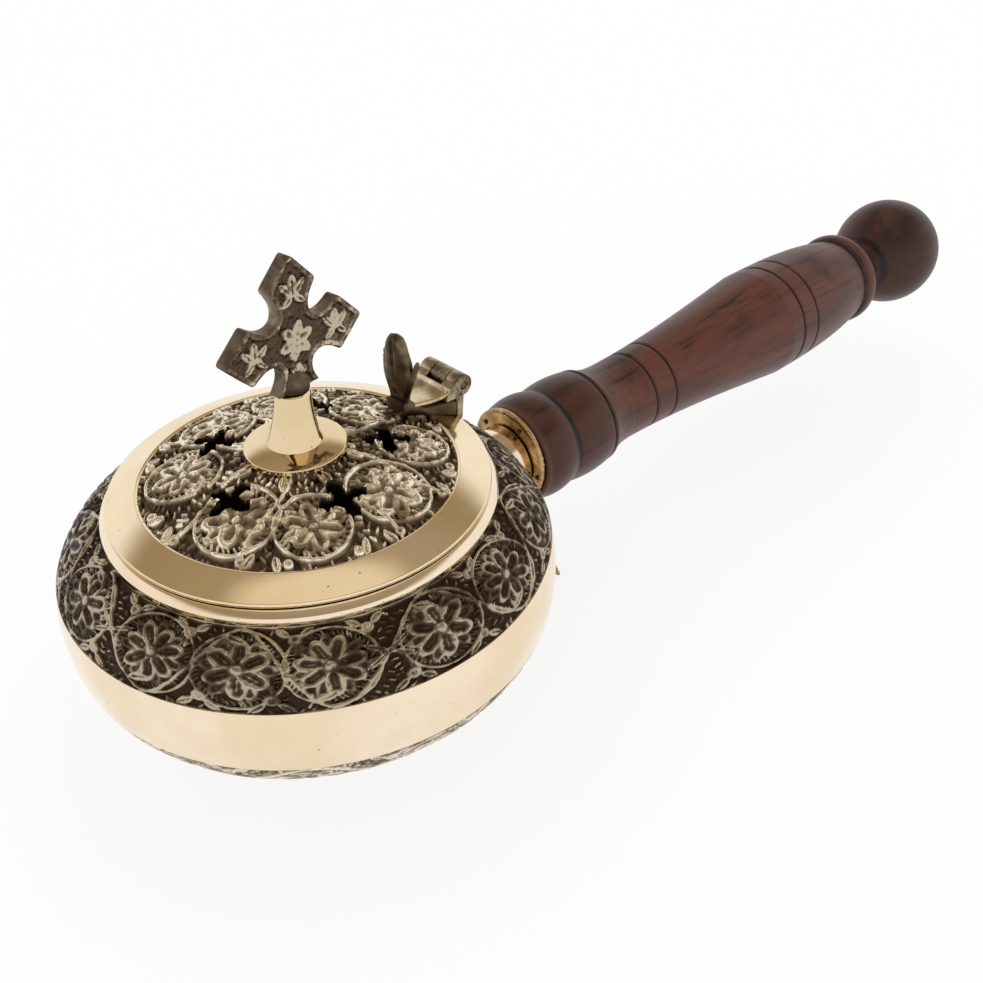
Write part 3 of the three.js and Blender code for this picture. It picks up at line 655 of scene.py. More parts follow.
def ornament(name, outline, round_length, rosettes, step, size, amount, grain, material):
    """A carved band round the bowl, with rosettes at places along its length."""
    length = outline_places(outline, 50)[2]
    sheet = Carving(0, 0, round_length, length, step, closed=True)
    vine_band(sheet, rosettes, length / 2, length * size)
    sheet.rough(amount, grain)
    ring, heights = carved_ring(outline, sheet, RELIEF_DEPTH)
    piece(name, ring, "bowl_and_handle", "polished_brass", "bowl", material, smooth=80, heights=heights)


shoulder_round = 2 * math.pi * ((BAND_RADIUS + COLLAR_RADIUS) / 2 + 1.0) / MEDALLION_STRETCH
unseen_turn = (360 - SHOULDER_ROSETTES[-1] + SHOULDER_ROSETTES[0]) / (SHOULDER_UNSEEN + 1)
rosette_angles = SHOULDER_ROSETTES + [
    SHOULDER_ROSETTES[-1] + unseen_turn * (i + 1) for i in range(SHOULDER_UNSEEN)
]
ornament("bowl_shoulder_ornament", shoulder_outline, shoulder_round,
         [a / 360 * shoulder_round for a in rosette_angles], RELIEF_STEP, size=0.46, amount=0.2, grain=4,
         material=bowl_ornament_brass)

under_round = 2 * math.pi * (UNDER_RADIUS + BAND_RADIUS) / 2 / MEDALLION_STRETCH
under_ornament_brass = antique_brass("under_ornament_brass", hollow="6a5b4a", side="9d8f7b", top="eadfcc",
                                     low=0.25, high=0.8, blotches=0.4)
ornament("bowl_under_ornament", under_outline, under_round,
         [under_round * (i + 0.4) / UNDER_ROSETTES for i in range(UNDER_ROSETTES)], RELIEF_STEP * 1.4,
         size=0.45, amount=0.12, grain=5, material=under_ornament_brass)

# The lid is a cast brass disc, slightly domed and carved all over, pierced by five cross-shaped
# smoke holes, inside a polished rim that was turned with a slanting face and a short skirt.
LID_RADIUS, LID_BOTTOM, LID_EDGE_TOP = 38.4, 59.6, 60.5
DISC_RADIUS, DISC_EDGE, DOME_TOP = 32.3, 62.5, 68.5
LID_WALL, PLAIN_MIDDLE = 1.6, 9.0
SKIRT_RADIUS, SKIRT_BOTTOM = 36.2, 57.4
SHANK_HOLE = 1.8
HOLES, HOLE_CIRCLE, FIRST_HOLE, HOLE_REACH, HOLE_HALF = 5, 18.1, -25.0, 5.2, 1.5
LID_RELIEF = 1.1
LID_STEP = 0.24
# Centre and reach of the painted shade on the disc round the thumb leaf's foot.
LEAF_SHADE_PLACE, LEAF_SHADE_REACH = 29.0, 6.5
LID_MEDALLIONS = [(-156.5, 21.7, 8.4), (-117.9, 22.6, 7.6), (-73.5, 22.0, 8.3), (-30.0, 23.2, 7.4),
                  (14.0, 22.2, 8.0), (60.0, 22.2, 8.2), (104.0, 22.0, 8.0), (150.0, 22.4, 8.0)]

dome_radius = (DISC_RADIUS ** 2 + (DOME_TOP - DISC_EDGE) ** 2) / (2 * (DOME_TOP - DISC_EDGE))


def dome_height(distance):
    """Height of the lid's disc at a distance from its centre."""
    return DOME_TOP - dome_radius + np.sqrt(np.maximum(dome_radius ** 2 - np.square(distance), 0))


def polar(distance, degrees):
    """The place at a distance and an angle from the centre."""
    return distance * math.cos(math.radians(degrees)), distance * math.sin(math.radians(degrees))


def outline_distance(x, y, outline):
    """Distance of places from a closed outline, below zero inside it."""
    corners = np.array(outline, float)
    nearest = np.full(np.shape(x), np.inf)
    inside = np.zeros(np.shape(x), bool)
    for (ax, ay), (bx, by) in zip(corners, np.roll(corners, -1, axis=0)):
        ex, ey = bx - ax, by - ay
        share = np.clip(((x - ax) * ex + (y - ay) * ey) / (ex * ex + ey * ey), 0, 1)
        nearest = np.minimum(nearest, np.hypot(x - ax - share * ex, y - ay - share * ey))
        if ey:
            crossed = (ay > y) != (by > y)
            inside ^= crossed & (x < ax + ex * (y - ay) / ey)
    return np.where(inside, -nearest, nearest)


def trimmed_plate(sheet, distance, front, back, edge_height=None):
    """A closed plate over the part of a sheet where distance is below zero. The grid's outer points
    are drawn onto the outline, and may be given one height. front and back turn (x, y, height) into
    places on the two faces."""
    x, y = sheet.places()
    depth = distance(x, y)
    cells = (depth[1:, 1:] + depth[1:, :-1] + depth[:-1, 1:] + depth[:-1, :-1]) < 0
    lone = cells[1:, 1:] & cells[:-1, :-1] & ~cells[1:, :-1] & ~cells[:-1, 1:]
    cells[1:, :-1] |= lone
    lone = cells[1:, :-1] & cells[:-1, 1:] & ~cells[1:, 1:] & ~cells[:-1, :-1]
    cells[1:, 1:] |= lone
    count = np.zeros(depth.shape, int)
    for r, c in ((0, 0), (0, 1), (1, 0), (1, 1)):
        count[r:r + cells.shape[0], c:c + cells.shape[1]] += cells
    slope_y, slope_x = np.gradient(depth, sheet.step_y, sheet.step_x)
    steep = np.maximum(np.hypot(slope_x, slope_y), 0.5)
    edge = (count > 0) & (count < 4)
    x = np.where(edge, x - depth * slope_x / steep ** 2, x)
    y = np.where(edge, y - depth * slope_y / steep ** 2, y)
    used = count > 0
    number = np.full(depth.shape, -1)
    number[used] = np.arange(used.sum())
    total = int(used.sum())
    height = sheet.height[used]
    if edge_height is not None:
        height = np.where(edge[used], edge_height, height)
    vertices = np.concatenate([front(x[used], y[used], height), back(x[used], y[used], height)])
    faces = []
    for r, c in zip(*np.nonzero(cells)):
        a, b, d, e = number[r, c], number[r, c + 1], number[r + 1, c + 1], number[r + 1, c]
        faces.append((a, b, d, e))
        faces.append((e + total, d + total, b + total, a + total))
        for r2, c2, p, q in ((r - 1, c, a, b), (r, c + 1, b, d), (r + 1, c, d, e), (r, c - 1, e, a)):
            if not (0 <= r2 < cells.shape[0] and 0 <= c2 < cells.shape[1] and cells[r2, c2]):
                faces.append((q, p, p + total, q + total))
    faces = [tuple(int(i) for i in face) for face in faces]
    return (vertices, faces), np.concatenate([height, np.zeros(total)])


def hole_outline(degrees):
    """One smoke hole: a cross whose arms widen a little to blunt points."""
    centre_x, centre_y = polar(HOLE_CIRCLE, degrees)
    points = []
    for quarter in range(4):
        for x, y in ((HOLE_REACH * 0.8, -HOLE_HALF * 1.05), (HOLE_REACH, 0),
                     (HOLE_REACH * 0.8, HOLE_HALF * 1.05), (HOLE_HALF * 0.8, HOLE_HALF * 0.8)):
            turn = math.radians(degrees + 90 * quarter)
            points.append((centre_x + x * math.cos(turn) - y * math.sin(turn),
                           centre_y + x * math.sin(turn) + y * math.cos(turn)))
    return points


hole_outlines = [hole_outline(FIRST_HOLE + 360 * i / HOLES) for i in range(HOLES)]


def disc_distance(x, y):
    """Distance from the lid's carved disc, whose cast edge wavers where it meets the rim."""
    away, turn = np.hypot(x, y), np.arctan2(y, x)
    ragged = DISC_RADIUS - 0.25 + 0.16 * np.sin(43 * turn + 2 * np.sin(11 * turn)) * np.sin(17 * turn)
    result = np.maximum(away - ragged, SHANK_HOLE - away)
    for outline in hole_outlines:
        result = np.maximum(result, -outline_distance(x, y, outline))
    return result


disc_sheet = Carving(-DISC_RADIUS, -DISC_RADIUS, 2 * DISC_RADIUS, 2 * DISC_RADIUS, LID_STEP)
disc_centres = []
for i, (turn, distance, size) in enumerate(LID_MEDALLIONS):
    x, y = polar(distance, turn)
    disc_centres.append((x, y))
    hand = 1 if i % 2 else -1
    medallion(disc_sheet, x, y, size, math.radians(turn + 180 - hand * 50), hand, petals=5 + i % 2,
              thick=0.48, sunk=0.55)
    following = LID_MEDALLIONS[(i + 1) % len(LID_MEDALLIONS)][0]
    half_way = turn + ((following - turn) % 360) / 2
    vine = [polar(9.5 + 22 * t, half_way + hand * 9 * math.sin(math.pi * (t - 0.3)))
            for t in [k / 12 for k in range(13)]]
    disc_sheet.line(vine, radius=0.5, rise=1.0)
    for lean, away, reach in ((-4.5, 28.6, 3.0), (3.5, 28.9, 3.0), (0, 13.2, 3.4)):
        x, y = polar(away, half_way + lean)
        outwards = math.radians(half_way + (0 if away > 20 else 180) + 6 * lean)
        disc_sheet.leaf(x, y, outwards, reach, width=2.1, rise=1.0)
    for lean in (-8.5, 8.5):
        x, y = polar(30.1, half_way + lean)
        disc_sheet.dab(x, y, 1.15, rise=0.95, flat=0.6)
        disc_sheet.dent(x, y, 0.5, floor=0.5)
disc_sheet.hatch(disc_centres, spacing=1.15, thick=0.34, rise=0.95,
                 within=lambda x, y: PLAIN_MIDDLE < math.hypot(x, y) < DISC_RADIUS)
disc_sheet.rough(amount=0.22, grain=4)
disc_sheet.rough(amount=0.18, grain=9)


def disc_top(x, y, height):
    """The carved face of the disc."""
    away = np.hypot(x, y)
    flat = np.clip((away - PLAIN_MIDDLE) / 1.2, 0, 1)
    return np.stack([x, y, dome_height(away) - 0.1 + (height - 1) * LID_RELIEF * flat], axis=1)


def disc_under(x, y, height):
    """The smooth underside of the disc."""
    return np.stack([x, y, dome_height(np.hypot(x, y)) - LID_WALL - 0.35], axis=1)


lid_brass = polished_brass("lid_brass", bright="f3e0c0", deep="ead3a9", roughness=0.11)
lid_ornament_brass = antique_brass("lid_ornament_brass", hollow="544536", side="8b7961", top="f0e4ce",
                                   low=0.2, high=0.8, blotches=0.45)
disc_plate, disc_heights = trimmed_plate(disc_sheet, disc_distance, disc_top, disc_under)
# Painted shade: the disc's colour is darkened round the foot of the thumb leaf, where the leaf's shadow
# falls.
from_leaf = np.hypot(disc_plate[0][:, 0] - LEAF_SHADE_PLACE, disc_plate[0][:, 1])
piece("lid_disc", disc_plate, "lid_and_cross", "polished_brass", "lid", lid_ornament_brass, smooth=70,
      heights=disc_heights - 0.5 * np.exp(-(from_leaf / LEAF_SHADE_REACH) ** 2))

rim_outline = rounded([
    (SKIRT_RADIUS, LID_BOTTOM), (LID_RADIUS, LID_BOTTOM), (LID_RADIUS, LID_EDGE_TOP),
    (DISC_RADIUS - 0.15, DISC_EDGE + 0.1), (DISC_RADIUS - 0.75, DISC_EDGE - 0.1),
    (DISC_RADIUS - 1.1, DISC_EDGE - 1.9),
], 0.22)
rim_shell = turned([(SKIRT_RADIUS - 1.4, SKIRT_BOTTOM), (SKIRT_RADIUS, SKIRT_BOTTOM), *rim_outline,
                    (SKIRT_RADIUS - 1.6, LID_BOTTOM - 0.2)], BOWL_SIDES)
piece("lid_rim", rim_shell, "lid_and_cross", "polished_brass", "lid", lid_brass)

# The finial is a separate brass casting, turned and polished bright: a wide round foot on the disc
# and a stem that leans a little towards the handle. The cross's shank goes down through both.
FINIAL_RADIUS, FINIAL_RIM, FINIAL_CROWN = 10.2, 69.02, 0.06
STEM_FOOT, STEM_FOOT_TOP, STEM_TOP, STEM_TOP_RADIUS = 5.4, 69.9, 80.7, 3.5
STEM_SLOPE = 0.1051

finial_outline = rounded([
    (SHANK_HOLE, dome_height(SHANK_HOLE) - 0.1), (FINIAL_RADIUS - 0.5, dome_height(FINIAL_RADIUS) - 0.2),
    (FINIAL_RADIUS, dome_height(FINIAL_RADIUS)), (FINIAL_RADIUS, FINIAL_RIM),
    (FINIAL_RADIUS - 0.9, FINIAL_RIM + 0.22),
], 0.2)
finial_outline += arc((FINIAL_RADIUS - 1.2, FINIAL_RIM + 0.3), (STEM_FOOT + 0.15, STEM_FOOT_TOP),
                      -FINIAL_CROWN, 10)
finial_outline += arc((STEM_FOOT, STEM_FOOT_TOP + 0.35), (STEM_TOP_RADIUS, STEM_TOP - 0.3), 0.4, 16)
finial_outline += [(STEM_TOP_RADIUS - 0.3, STEM_TOP), (SHANK_HOLE, STEM_TOP)]
finial_places, finial_faces = turned(finial_outline, 128)
finial_places = [(x + STEM_SLOPE * max(z - STEM_FOOT_TOP, 0), y, z) for x, y, z in finial_places]
finial_brass = polished_brass("finial_brass", bright="ead4b1", deep="dfc69c", roughness=0.07)
piece("finial_stem_turned", (finial_places, finial_faces), "lid_and_cross", "polished_brass",
      "finial_stem", finial_brass)

# The cross is one thick casting with flared, pointed arms: a raised border round a sunk field, a
# flower in the middle and a lily in each arm, all dark but where hands have rubbed it.
CROSS_REACH, CROSS_THICKNESS, CROSS_FIELD = 16.8, 3.4, 0.55
CROSS_NOTCH = [(0.34, 0.65), (0.28, 0.565), (0.23, 0.48), (0.208, 0.395), (0.215, 0.315), (0.25, 0.25)]
CROSS_SHIFT, CROSS_HEIGHT, CROSS_LEAN, CROSS_TURN = 2.5, 91.0, 3.4, 7.0
CROSS_BOTTOM, CROSS_BORDER, BORDER_RISE = 81.0, 1.25, 0.62
CROSS_SHEET, CROSS_STEP = 17.2, 0.2
LILIES = [(0, 9.8, 1.0), (9.9, 0.2, 0.95), (-9.9, -0.2, 0.95), (0.2, -6.7, 0.66)]
SHANK_RADIUS, SHANK_BOTTOM = 1.5, 61.8

half_notch = [(x * CROSS_REACH, y * CROSS_REACH) for x, y in CROSS_NOTCH]
notch = half_notch + [(y, x) for x, y in half_notch[-2::-1]]
cross_outline = []
for quarter in range(4):
    turn = -quarter * math.pi / 2
    cross_outline += [(x * math.cos(turn) - y * math.sin(turn), x * math.sin(turn) + y * math.cos(turn))
                      for x, y in [(0, CROSS_REACH), *notch]]
cross_outline = rounded(cross_outline[6:] + cross_outline[:7], 0.9)[:-1]
lean = math.radians(CROSS_LEAN)


def cross_distance(x, y):
    """Distance from the cross, which is cut off level where it stands on its base."""
    level = CROSS_BOTTOM - (CROSS_HEIGHT - x * math.sin(lean) + y * math.cos(lean))
    return np.maximum(outline_distance(x, y, cross_outline), level)


def swung(places, degrees):
    """Places turned about the lid's centre."""
    turn = math.radians(degrees)
    x, y, z = np.asarray(places, float).T
    return np.stack([x * math.cos(turn) - y * math.sin(turn), x * math.sin(turn) + y * math.cos(turn), z],
                    axis=1)


def cross_place(x, y, depth):
    """A place on the cross, from across, up and towards the viewer, in the lid's places."""
    along = x * math.cos(lean) + y * math.sin(lean) + CROSS_SHIFT
    height = CROSS_HEIGHT - x * math.sin(lean) + y * math.cos(lean)
    return swung(np.stack([along, -depth, height], axis=1), CROSS_TURN)


def cross_face(side):
    """The front face of the cross for side 1, or its back for side -1."""
    half_thick = CROSS_THICKNESS / 2
    return lambda x, y, height: cross_place(
        x, y, side * (half_thick + (np.minimum(height, 1) - 1) * CROSS_FIELD))


def both_faces(heights):
    """The heights of a plate whose back is carved as its front is."""
    return np.tile(heights[:len(heights) // 2], 2)


cross_sheet = Carving(-CROSS_SHEET, -CROSS_SHEET, 2 * CROSS_SHEET, 2 * CROSS_SHEET, CROSS_STEP)
for petal in range(6):
    turn = petal * math.pi / 3 + 0.3
    cross_sheet.petal(*out_from(0, 0, 0.8, turn), turn, reach=2.6, width=2.7, rise=1.2, sunk=0.3)
for x, y, size in LILIES:
    up = math.pi / 2
    cross_sheet.leaf(x, y - 0.6 * size, up, 3.9 * size, 2.5 * size, rise=1.1)
    for side in (-1, 1):
        cross_sheet.leaf(x + side * 0.7 * size, y - 0.4 * size, up - side * 0.75, 3.2 * size, 2.0 * size,
                         rise=1.1)
        cross_sheet.leaf(x + side * 0.5 * size, y - 1.0 * size, -up + side * 0.9, 2.6 * size, 1.8 * size,
                         rise=1.1)
    cross_sheet.line([(x - 1.3 * size, y - 0.8 * size), (x + 1.3 * size, y - 0.8 * size)], 0.5, rise=1.1)
cross_depth = -outline_distance(*cross_sheet.places(), cross_outline)
cross_border = np.clip((CROSS_BORDER - cross_depth) / 0.25, 0, 1)
cross_sheet.height = np.maximum(cross_sheet.height, BORDER_RISE * cross_border)
cross_sheet.rough(amount=0.3, grain=6)
cross_sheet.rough(amount=0.28, grain=2.5)
cross_sheet.height -= 0.7 * np.clip(1 - cross_depth / 0.3, 0, 1) ** 2

cross_brass = antique_brass("cross_brass", hollow="54463a", side="776855", top="bdae97",
                            low=0.25, high=0.8, blotches=0.6)
cross_plate, cross_heights = trimmed_plate(cross_sheet, cross_distance, cross_face(1), cross_face(-1),
                                           edge_height=0.45)
base_outline = rounded([(STEM_TOP_RADIUS - 0.2, CROSS_BOTTOM), (STEM_TOP_RADIUS, CROSS_BOTTOM + 1.6),
                        (2.4, CROSS_BOTTOM + 3.4), (0.8, CROSS_BOTTOM + 4.2)], 0.8, 5)
base_places, base_faces = turned([(0, CROSS_BOTTOM), *base_outline, (0, CROSS_BOTTOM + 4.3)], 48)
base_shift = STEM_SLOPE * (STEM_TOP - DOME_TOP)
base_places = swung([(x + base_shift, y, z) for x, y, z in base_places], CROSS_TURN)
shank_top = CROSS_HEIGHT - 6
shank_outline = rounded([(SHANK_RADIUS - 0.4, SHANK_BOTTOM), (SHANK_RADIUS, SHANK_BOTTOM + 0.4),
                         (SHANK_RADIUS, shank_top)], 0.2)
shank = turned([(0, SHANK_BOTTOM), *shank_outline, (0, shank_top)], 32)
plain_places = len(base_places) + len(shank[0])
piece("cross_cast", joined(cross_plate, (base_places, base_faces), shank), "lid_and_cross", "aged_brass",
      "cross", cross_brass, smooth=50,
      heights=np.concatenate([both_faces(cross_heights), np.full(plain_places, 0.3)]))

# Under the lid a turned brass washer and a hexagonal brass nut, filed flat on its six sides, draw
# the cross's shank down, and so hold the finial and the cross on the disc.
WASHER_RADIUS, WASHER_BOTTOM, WASHER_TOP = 5.0, 65.7, 66.6
NUT_ACROSS, NUT_TOP, NUT_HEIGHT = 7.0, 65.4, 2.6


def cast_brass(name, bright, deep, roughness, grain_depth=0.00012):
    """Brass as it comes from the mould, browned and lightly rubbed: mottled, with a sandy grain."""
    material, tree, surface = metal(name)
    worn = tarnished(tree, patch_size=260.0, pit_size=1100.0, pits=1.0)
    fine = noise(tree, object_places(tree.nodes), scale=900.0, detail=4.0, roughness=0.65)
    mixed = math_node(tree, "MULTIPLY", math_node(tree, "ADD", worn.outputs["Patches"], fine), 0.5)
    tone = blended(tree, between(tree, mixed, 0.08, 0.92), colour(bright), colour(deep))
    sand = math_node(tree, "SUBTRACT", fine, worn.outputs["Pits"])
    finished(tree, surface, blended(tree, worn.outputs["Pits"], tone, colour("2a1f14")),
             spread(tree, fine, 0.7 * roughness, 1.3 * roughness),
             bump(tree, sand, strength=0.6, distance=grain_depth))
    return material


hidden_brass = cast_brass("nut_brass", bright="8f7647", deep="6b5634", roughness=0.4)


def tube(bore, radius, low, high, edge, sides, steps=3):
    """A tube or a washer about +Z, its corners rounded by edge."""
    return turned(rounded([(bore, low), (radius, low), (radius, high), (bore, high)], edge, steps), sides)


piece("finial_washer_turned", tube(SHANK_HOLE, WASHER_RADIUS, WASHER_BOTTOM, WASHER_TOP, 0.2, 64),
      "lid_and_cross", "cast_brass", "finial_washer", hidden_brass)


def nut_shell(across, low, top):
    """A hexagonal nut with its upper and lower corners turned off."""
    vertices = []
    corner = across / 2 / math.cos(math.pi / 6)
    heights = [low, low, low + 0.45, top - 0.45, top, top]
    shares = [SHANK_HOLE / corner, 0.9, 1, 1, 0.9, SHANK_HOLE / corner]
    for height, share in zip(heights, shares):
        for i in range(48):
            turn = i * math.pi / 24
            flat = across / 2 / math.cos((turn + math.pi / 6) % (math.pi / 3) - math.pi / 6)
            reach = min(flat, share * corner) if share > 0.5 else SHANK_HOLE
            vertices.append((reach * math.cos(turn), reach * math.sin(turn), height))
    return vertices, grid_faces(len(heights), 48, close_rows=True)


piece("finial_nut_cut", nut_shell(NUT_ACROSS, NUT_TOP - NUT_HEIGHT, NUT_TOP), "lid_and_cross",
      "cast_brass", "finial_nut", hidden_brass, smooth=25)

# The thumb leaf lifts the lid: a dark bronze casting, a long keeled leaf between two small ones, on
# a foot that spreads along the disc to the hinge.
HINGE_TURN = 1.3
LEAF_REACH, LEAF_FOOT, LEAF_HEIGHT, LEAF_HALF, LEAF_THICKNESS = 27.0, 67.15, 15.4, 5.25, 1.9
LEAF_BLADE = [(0.5, 0), (0.54, 0.1), (0.7, 0.22), (0.88, 0.39), (0.98, 0.55), (1, 0.63), (0.94, 0.67),
              (0.87, 0.63), (0.82, 0.56), (0.76, 0.5), (0.72, 0.62), (0.63, 0.76), (0.5, 0.88),
              (0.3, 0.97)]
TAIL_START, TAIL_END, TAIL_TOP, TAIL_NARROW, TAIL_WIDE = 25.55, 37.35, 65.0, 2.9, 5.9


def inside_out(shell):
    """The same shell with its faces turned round."""
    vertices, faces = shell
    return vertices, [face[::-1] for face in faces]


def capped_faces(rows, columns):
    """Faces of a bar listed ring by ring, with both its ends closed."""
    last = (rows - 1) * columns
    return grid_faces(rows, columns) + [tuple(reversed(range(columns))), tuple(range(last, last + columns))]


half_blade = [(x * LEAF_HALF, y * LEAF_HEIGHT) for x, y in LEAF_BLADE]
blade_outline = half_blade + [(0, LEAF_HEIGHT)] + [(-x, y) for x, y in half_blade[::-1]]


def blade_face(side):
    """One face of the blade: pillowed at its edges, keeled in the middle, lobes swept back."""
    def face(x, y, height):
        depth = -outline_distance(x, y, blade_outline)
        pillow = LEAF_THICKNESS / 2 * np.sqrt(np.clip(1 - (1 - np.clip(depth / 0.9, 0, 1)) ** 2, 0.02, 1))
        keel = 0.45 * np.clip(1 - (x / 3.0) ** 2, 0, 1) * np.clip(y / 4, 0, 1)
        crease = 0.3 * np.exp(-(x / 0.4) ** 2)
        swept = 1.1 * np.clip((np.abs(x) - 2.9) / 2.2, 0, 1) * np.clip((y - 4) / 5, 0, 1)
        relief = (pillow + (keel - crease) * np.clip(depth, 0, 1)) * side
        return swung(np.stack([LEAF_REACH + swept + relief, x, LEAF_FOOT + y], axis=1), HINGE_TURN)
    return face


blade_sheet = Carving(-LEAF_HALF - 0.3, -0.2, 2 * LEAF_HALF + 0.6, LEAF_HEIGHT + 0.4, 0.2)
blade_sheet.height += 0.2
blade_sheet.rough(amount=0.25, grain=7)
blade_plate, blade_heights = trimmed_plate(
    blade_sheet, lambda x, y: outline_distance(x, y, blade_outline), blade_face(-1), blade_face(1))


def tail_shell():
    """The leaf's foot: from the blade it falls and widens to the hinge, bedded on the disc."""
    rows, across = 36, 28
    vertices = []
    for r in range(rows):
        t = r / (rows - 1)
        x = TAIL_START + (TAIL_END - TAIL_START) * t
        half = TAIL_NARROW + (TAIL_WIDE - TAIL_NARROW) * t ** 1.5
        fall = min(max((x - TAIL_START - 1.2) / 4.5, 0), 1)
        top = LEAF_FOOT + 0.5 + (TAIL_TOP - LEAF_FOOT - 0.5) * fall * fall * (3 - 2 * fall)
        for c in range(across):
            turn = 2 * math.pi * c / across
            wide, high = math.cos(turn), math.sin(turn)
            y = half * math.copysign(abs(wide) ** 0.45, wide)
            away = math.hypot(x, y)
            bed = float(dome_height(away)) if away < DISC_RADIUS else (
                DISC_EDGE - (away - DISC_RADIUS) / (LID_RADIUS - DISC_RADIUS) * (DISC_EDGE - LID_EDGE_TOP))
            middle = bed - 0.5 + (top - bed + 0.5) / 2
            vertices.append((x, y, middle + (top - middle) * math.copysign(abs(high) ** 0.45, high)))
    return inside_out((swung(vertices, HINGE_TURN), capped_faces(rows, across)))


leaf_bronze = antique_brass("leaf_bronze", hollow="4e4134", side="7b6b54", top="b3a286",
                            low=0.1, high=0.75, blotches=0.3)
tail = tail_shell()
piece("thumb_leaf_cast", joined(inside_out(blade_plate), tail), "lid_and_cross", "aged_brass",
      "thumb_leaf", leaf_bronze, smooth=60,
      heights=np.concatenate([both_faces(blade_heights), np.full(len(tail[0]), 0.12)]))

# The hinge is cast and filed to fit: two outer knuckles and their plate on the lid, one knuckle on
# a lug behind the bowl's collar, and a steel pin through all three.
HINGE_AXIS_X, HINGE_AXIS_Z, KNUCKLE_RADIUS, PIN_RADIUS = 39.7, 67.4, 2.4, 0.85
KNUCKLE_END, KNUCKLE_START, KNUCKLE_BORE, LUG_HALF = 5.9, 2.5, 0.95, 2.2
TONGUE_PATH = [(28.2, 66.0), (30.5, 65.8), (32.8, 65.8), (34.6, 66.1), (35.8, 66.8), (36.4, 67.8)]
TONGUE_THICKNESS = 1.3


def smoothed(points, steps=6):
    """A smooth line through points."""
    result = []
    for i in range(len(points) - 1):
        a, b = points[max(i - 1, 0)], points[i]
        c, d = points[i + 1], points[min(i + 2, len(points) - 1)]
        for k in range(steps):
            t = k / steps
            result.append(tuple(0.5 * (2 * b[j] + (c[j] - a[j]) * t
                                       + (2 * a[j] - 5 * b[j] + 4 * c[j] - d[j]) * t * t
                                       + (3 * b[j] - a[j] - 3 * c[j] + d[j]) * t ** 3)
                                for j in range(len(b))))
    result.append(tuple(points[-1]))
    return result


def across_hinge(outline, low, high):
    """A block whose outline lies along and up, from low to high across the handle."""
    count = len(outline)
    vertices = [(x, y, z) for y in (low, high) for x, z in outline]
    faces = [tuple(range(count)), tuple(reversed(range(count, 2 * count)))]
    faces += [(i, i + count, (i + 1) % count + count, (i + 1) % count) for i in range(count)]
    return swung(vertices, HINGE_TURN), faces


def on_pin(shell):
    """Lays a shell that was turned about +Z across the handle, on the hinge's axis."""
    vertices, faces = shell
    return swung([(y + HINGE_AXIS_X, z, x + HINGE_AXIS_Z) for x, y, z in vertices], HINGE_TURN), faces


def knuckle(low, high):
    """A hollow barrel on the pin with its ends turned off a little."""
    return on_pin(tube(KNUCKLE_BORE, KNUCKLE_RADIUS, low, high, 0.3, 48))


def tongue_shell():
    """The hinge's tongue: a sheet that lies on the leaf's foot and curls up to the knuckles."""
    places, out, _ = outline_places(smoothed(TONGUE_PATH), 26)
    rows, across = len(places), 20
    vertices = []
    for r, ((x, z), (nx, nz)) in enumerate(zip(places, out)):
        t = r / (rows - 1)
        half = 3.3 + 2.6 * min(t * 1.15, 1) ** 1.3
        for c in range(across):
            turn = 2 * math.pi * c / across
            wide, high = math.cos(turn), math.sin(turn)
            thick = TONGUE_THICKNESS / 2 * math.copysign(abs(high) ** 0.5, high)
            scoop = 0.5 * abs(wide) ** 3 * t
            vertices.append((x - nx * (thick + scoop), half * math.copysign(abs(wide) ** 0.5, wide),
                             z - nz * (thick + scoop)))
    return swung(vertices, HINGE_TURN), capped_faces(rows, across)


def bevelled(obj, width):
    """Breaks a piece's sharp edges."""
    modifier = obj.modifiers.new("broken_edges", "BEVEL")
    modifier.width = width * MM
    modifier.segments = 2
    modifier.limit_method = "ANGLE"
    modifier.angle_limit = math.radians(50)


hinge_brass = cast_brass("hinge_brass", bright="b5a488", deep="4c3e2e", roughness=0.27)
plate_side = [(HINGE_AXIS_X - 2.05, LID_BOTTOM + 0.1), (HINGE_AXIS_X - 0.55, LID_BOTTOM + 0.1),
              (HINGE_AXIS_X - 0.3, 62.5), (HINGE_AXIS_X + 0.1, 65.4), (HINGE_AXIS_X - 1.2, 66.6),
              (HINGE_AXIS_X - 2.1, 65.6)]
cheek_side = [(34.6, 65.2), (37.6, 64.9), (38.6, 65.4), (38.4, 67.6), (37.6, 68.6), (36.3, 68.2),
              (35.6, 66.9)]
middle_side = [(HINGE_AXIS_X - 2.05, 62.2), (HINGE_AXIS_X - 0.55, 62.2), (HINGE_AXIS_X - 0.6, 64.5),
               (HINGE_AXIS_X - 2.05, 64.9)]
hinge_blocks = [across_hinge(middle_side, -KNUCKLE_START - 0.2, KNUCKLE_START + 0.2)]
hinge_round = []
for side in (-1, 1):
    low, high = sorted((side * KNUCKLE_START, side * KNUCKLE_END))
    hinge_blocks += [across_hinge(plate_side, low, high), across_hinge(cheek_side, low, high)]
    hinge_round.append(knuckle(low, high))
hinge_frame = piece("lid_hinge_blocks", joined(*hinge_blocks), "lid_and_cross", "cast_brass",
                    "lid_hinge_plate", hinge_brass, smooth=40)
bevelled(hinge_frame, 0.28)
tongue_brass = cast_brass("tongue_brass", bright="e6d6b8", deep="9c886a", roughness=0.24)
piece("lid_hinge_tongue", tongue_shell(), "lid_and_cross", "cast_brass", "lid_hinge_plate", tongue_brass)
piece("lid_hinge_barrels", joined(*hinge_round), "lid_and_cross", "cast_brass", "lid_hinge_plate",
      hinge_brass)

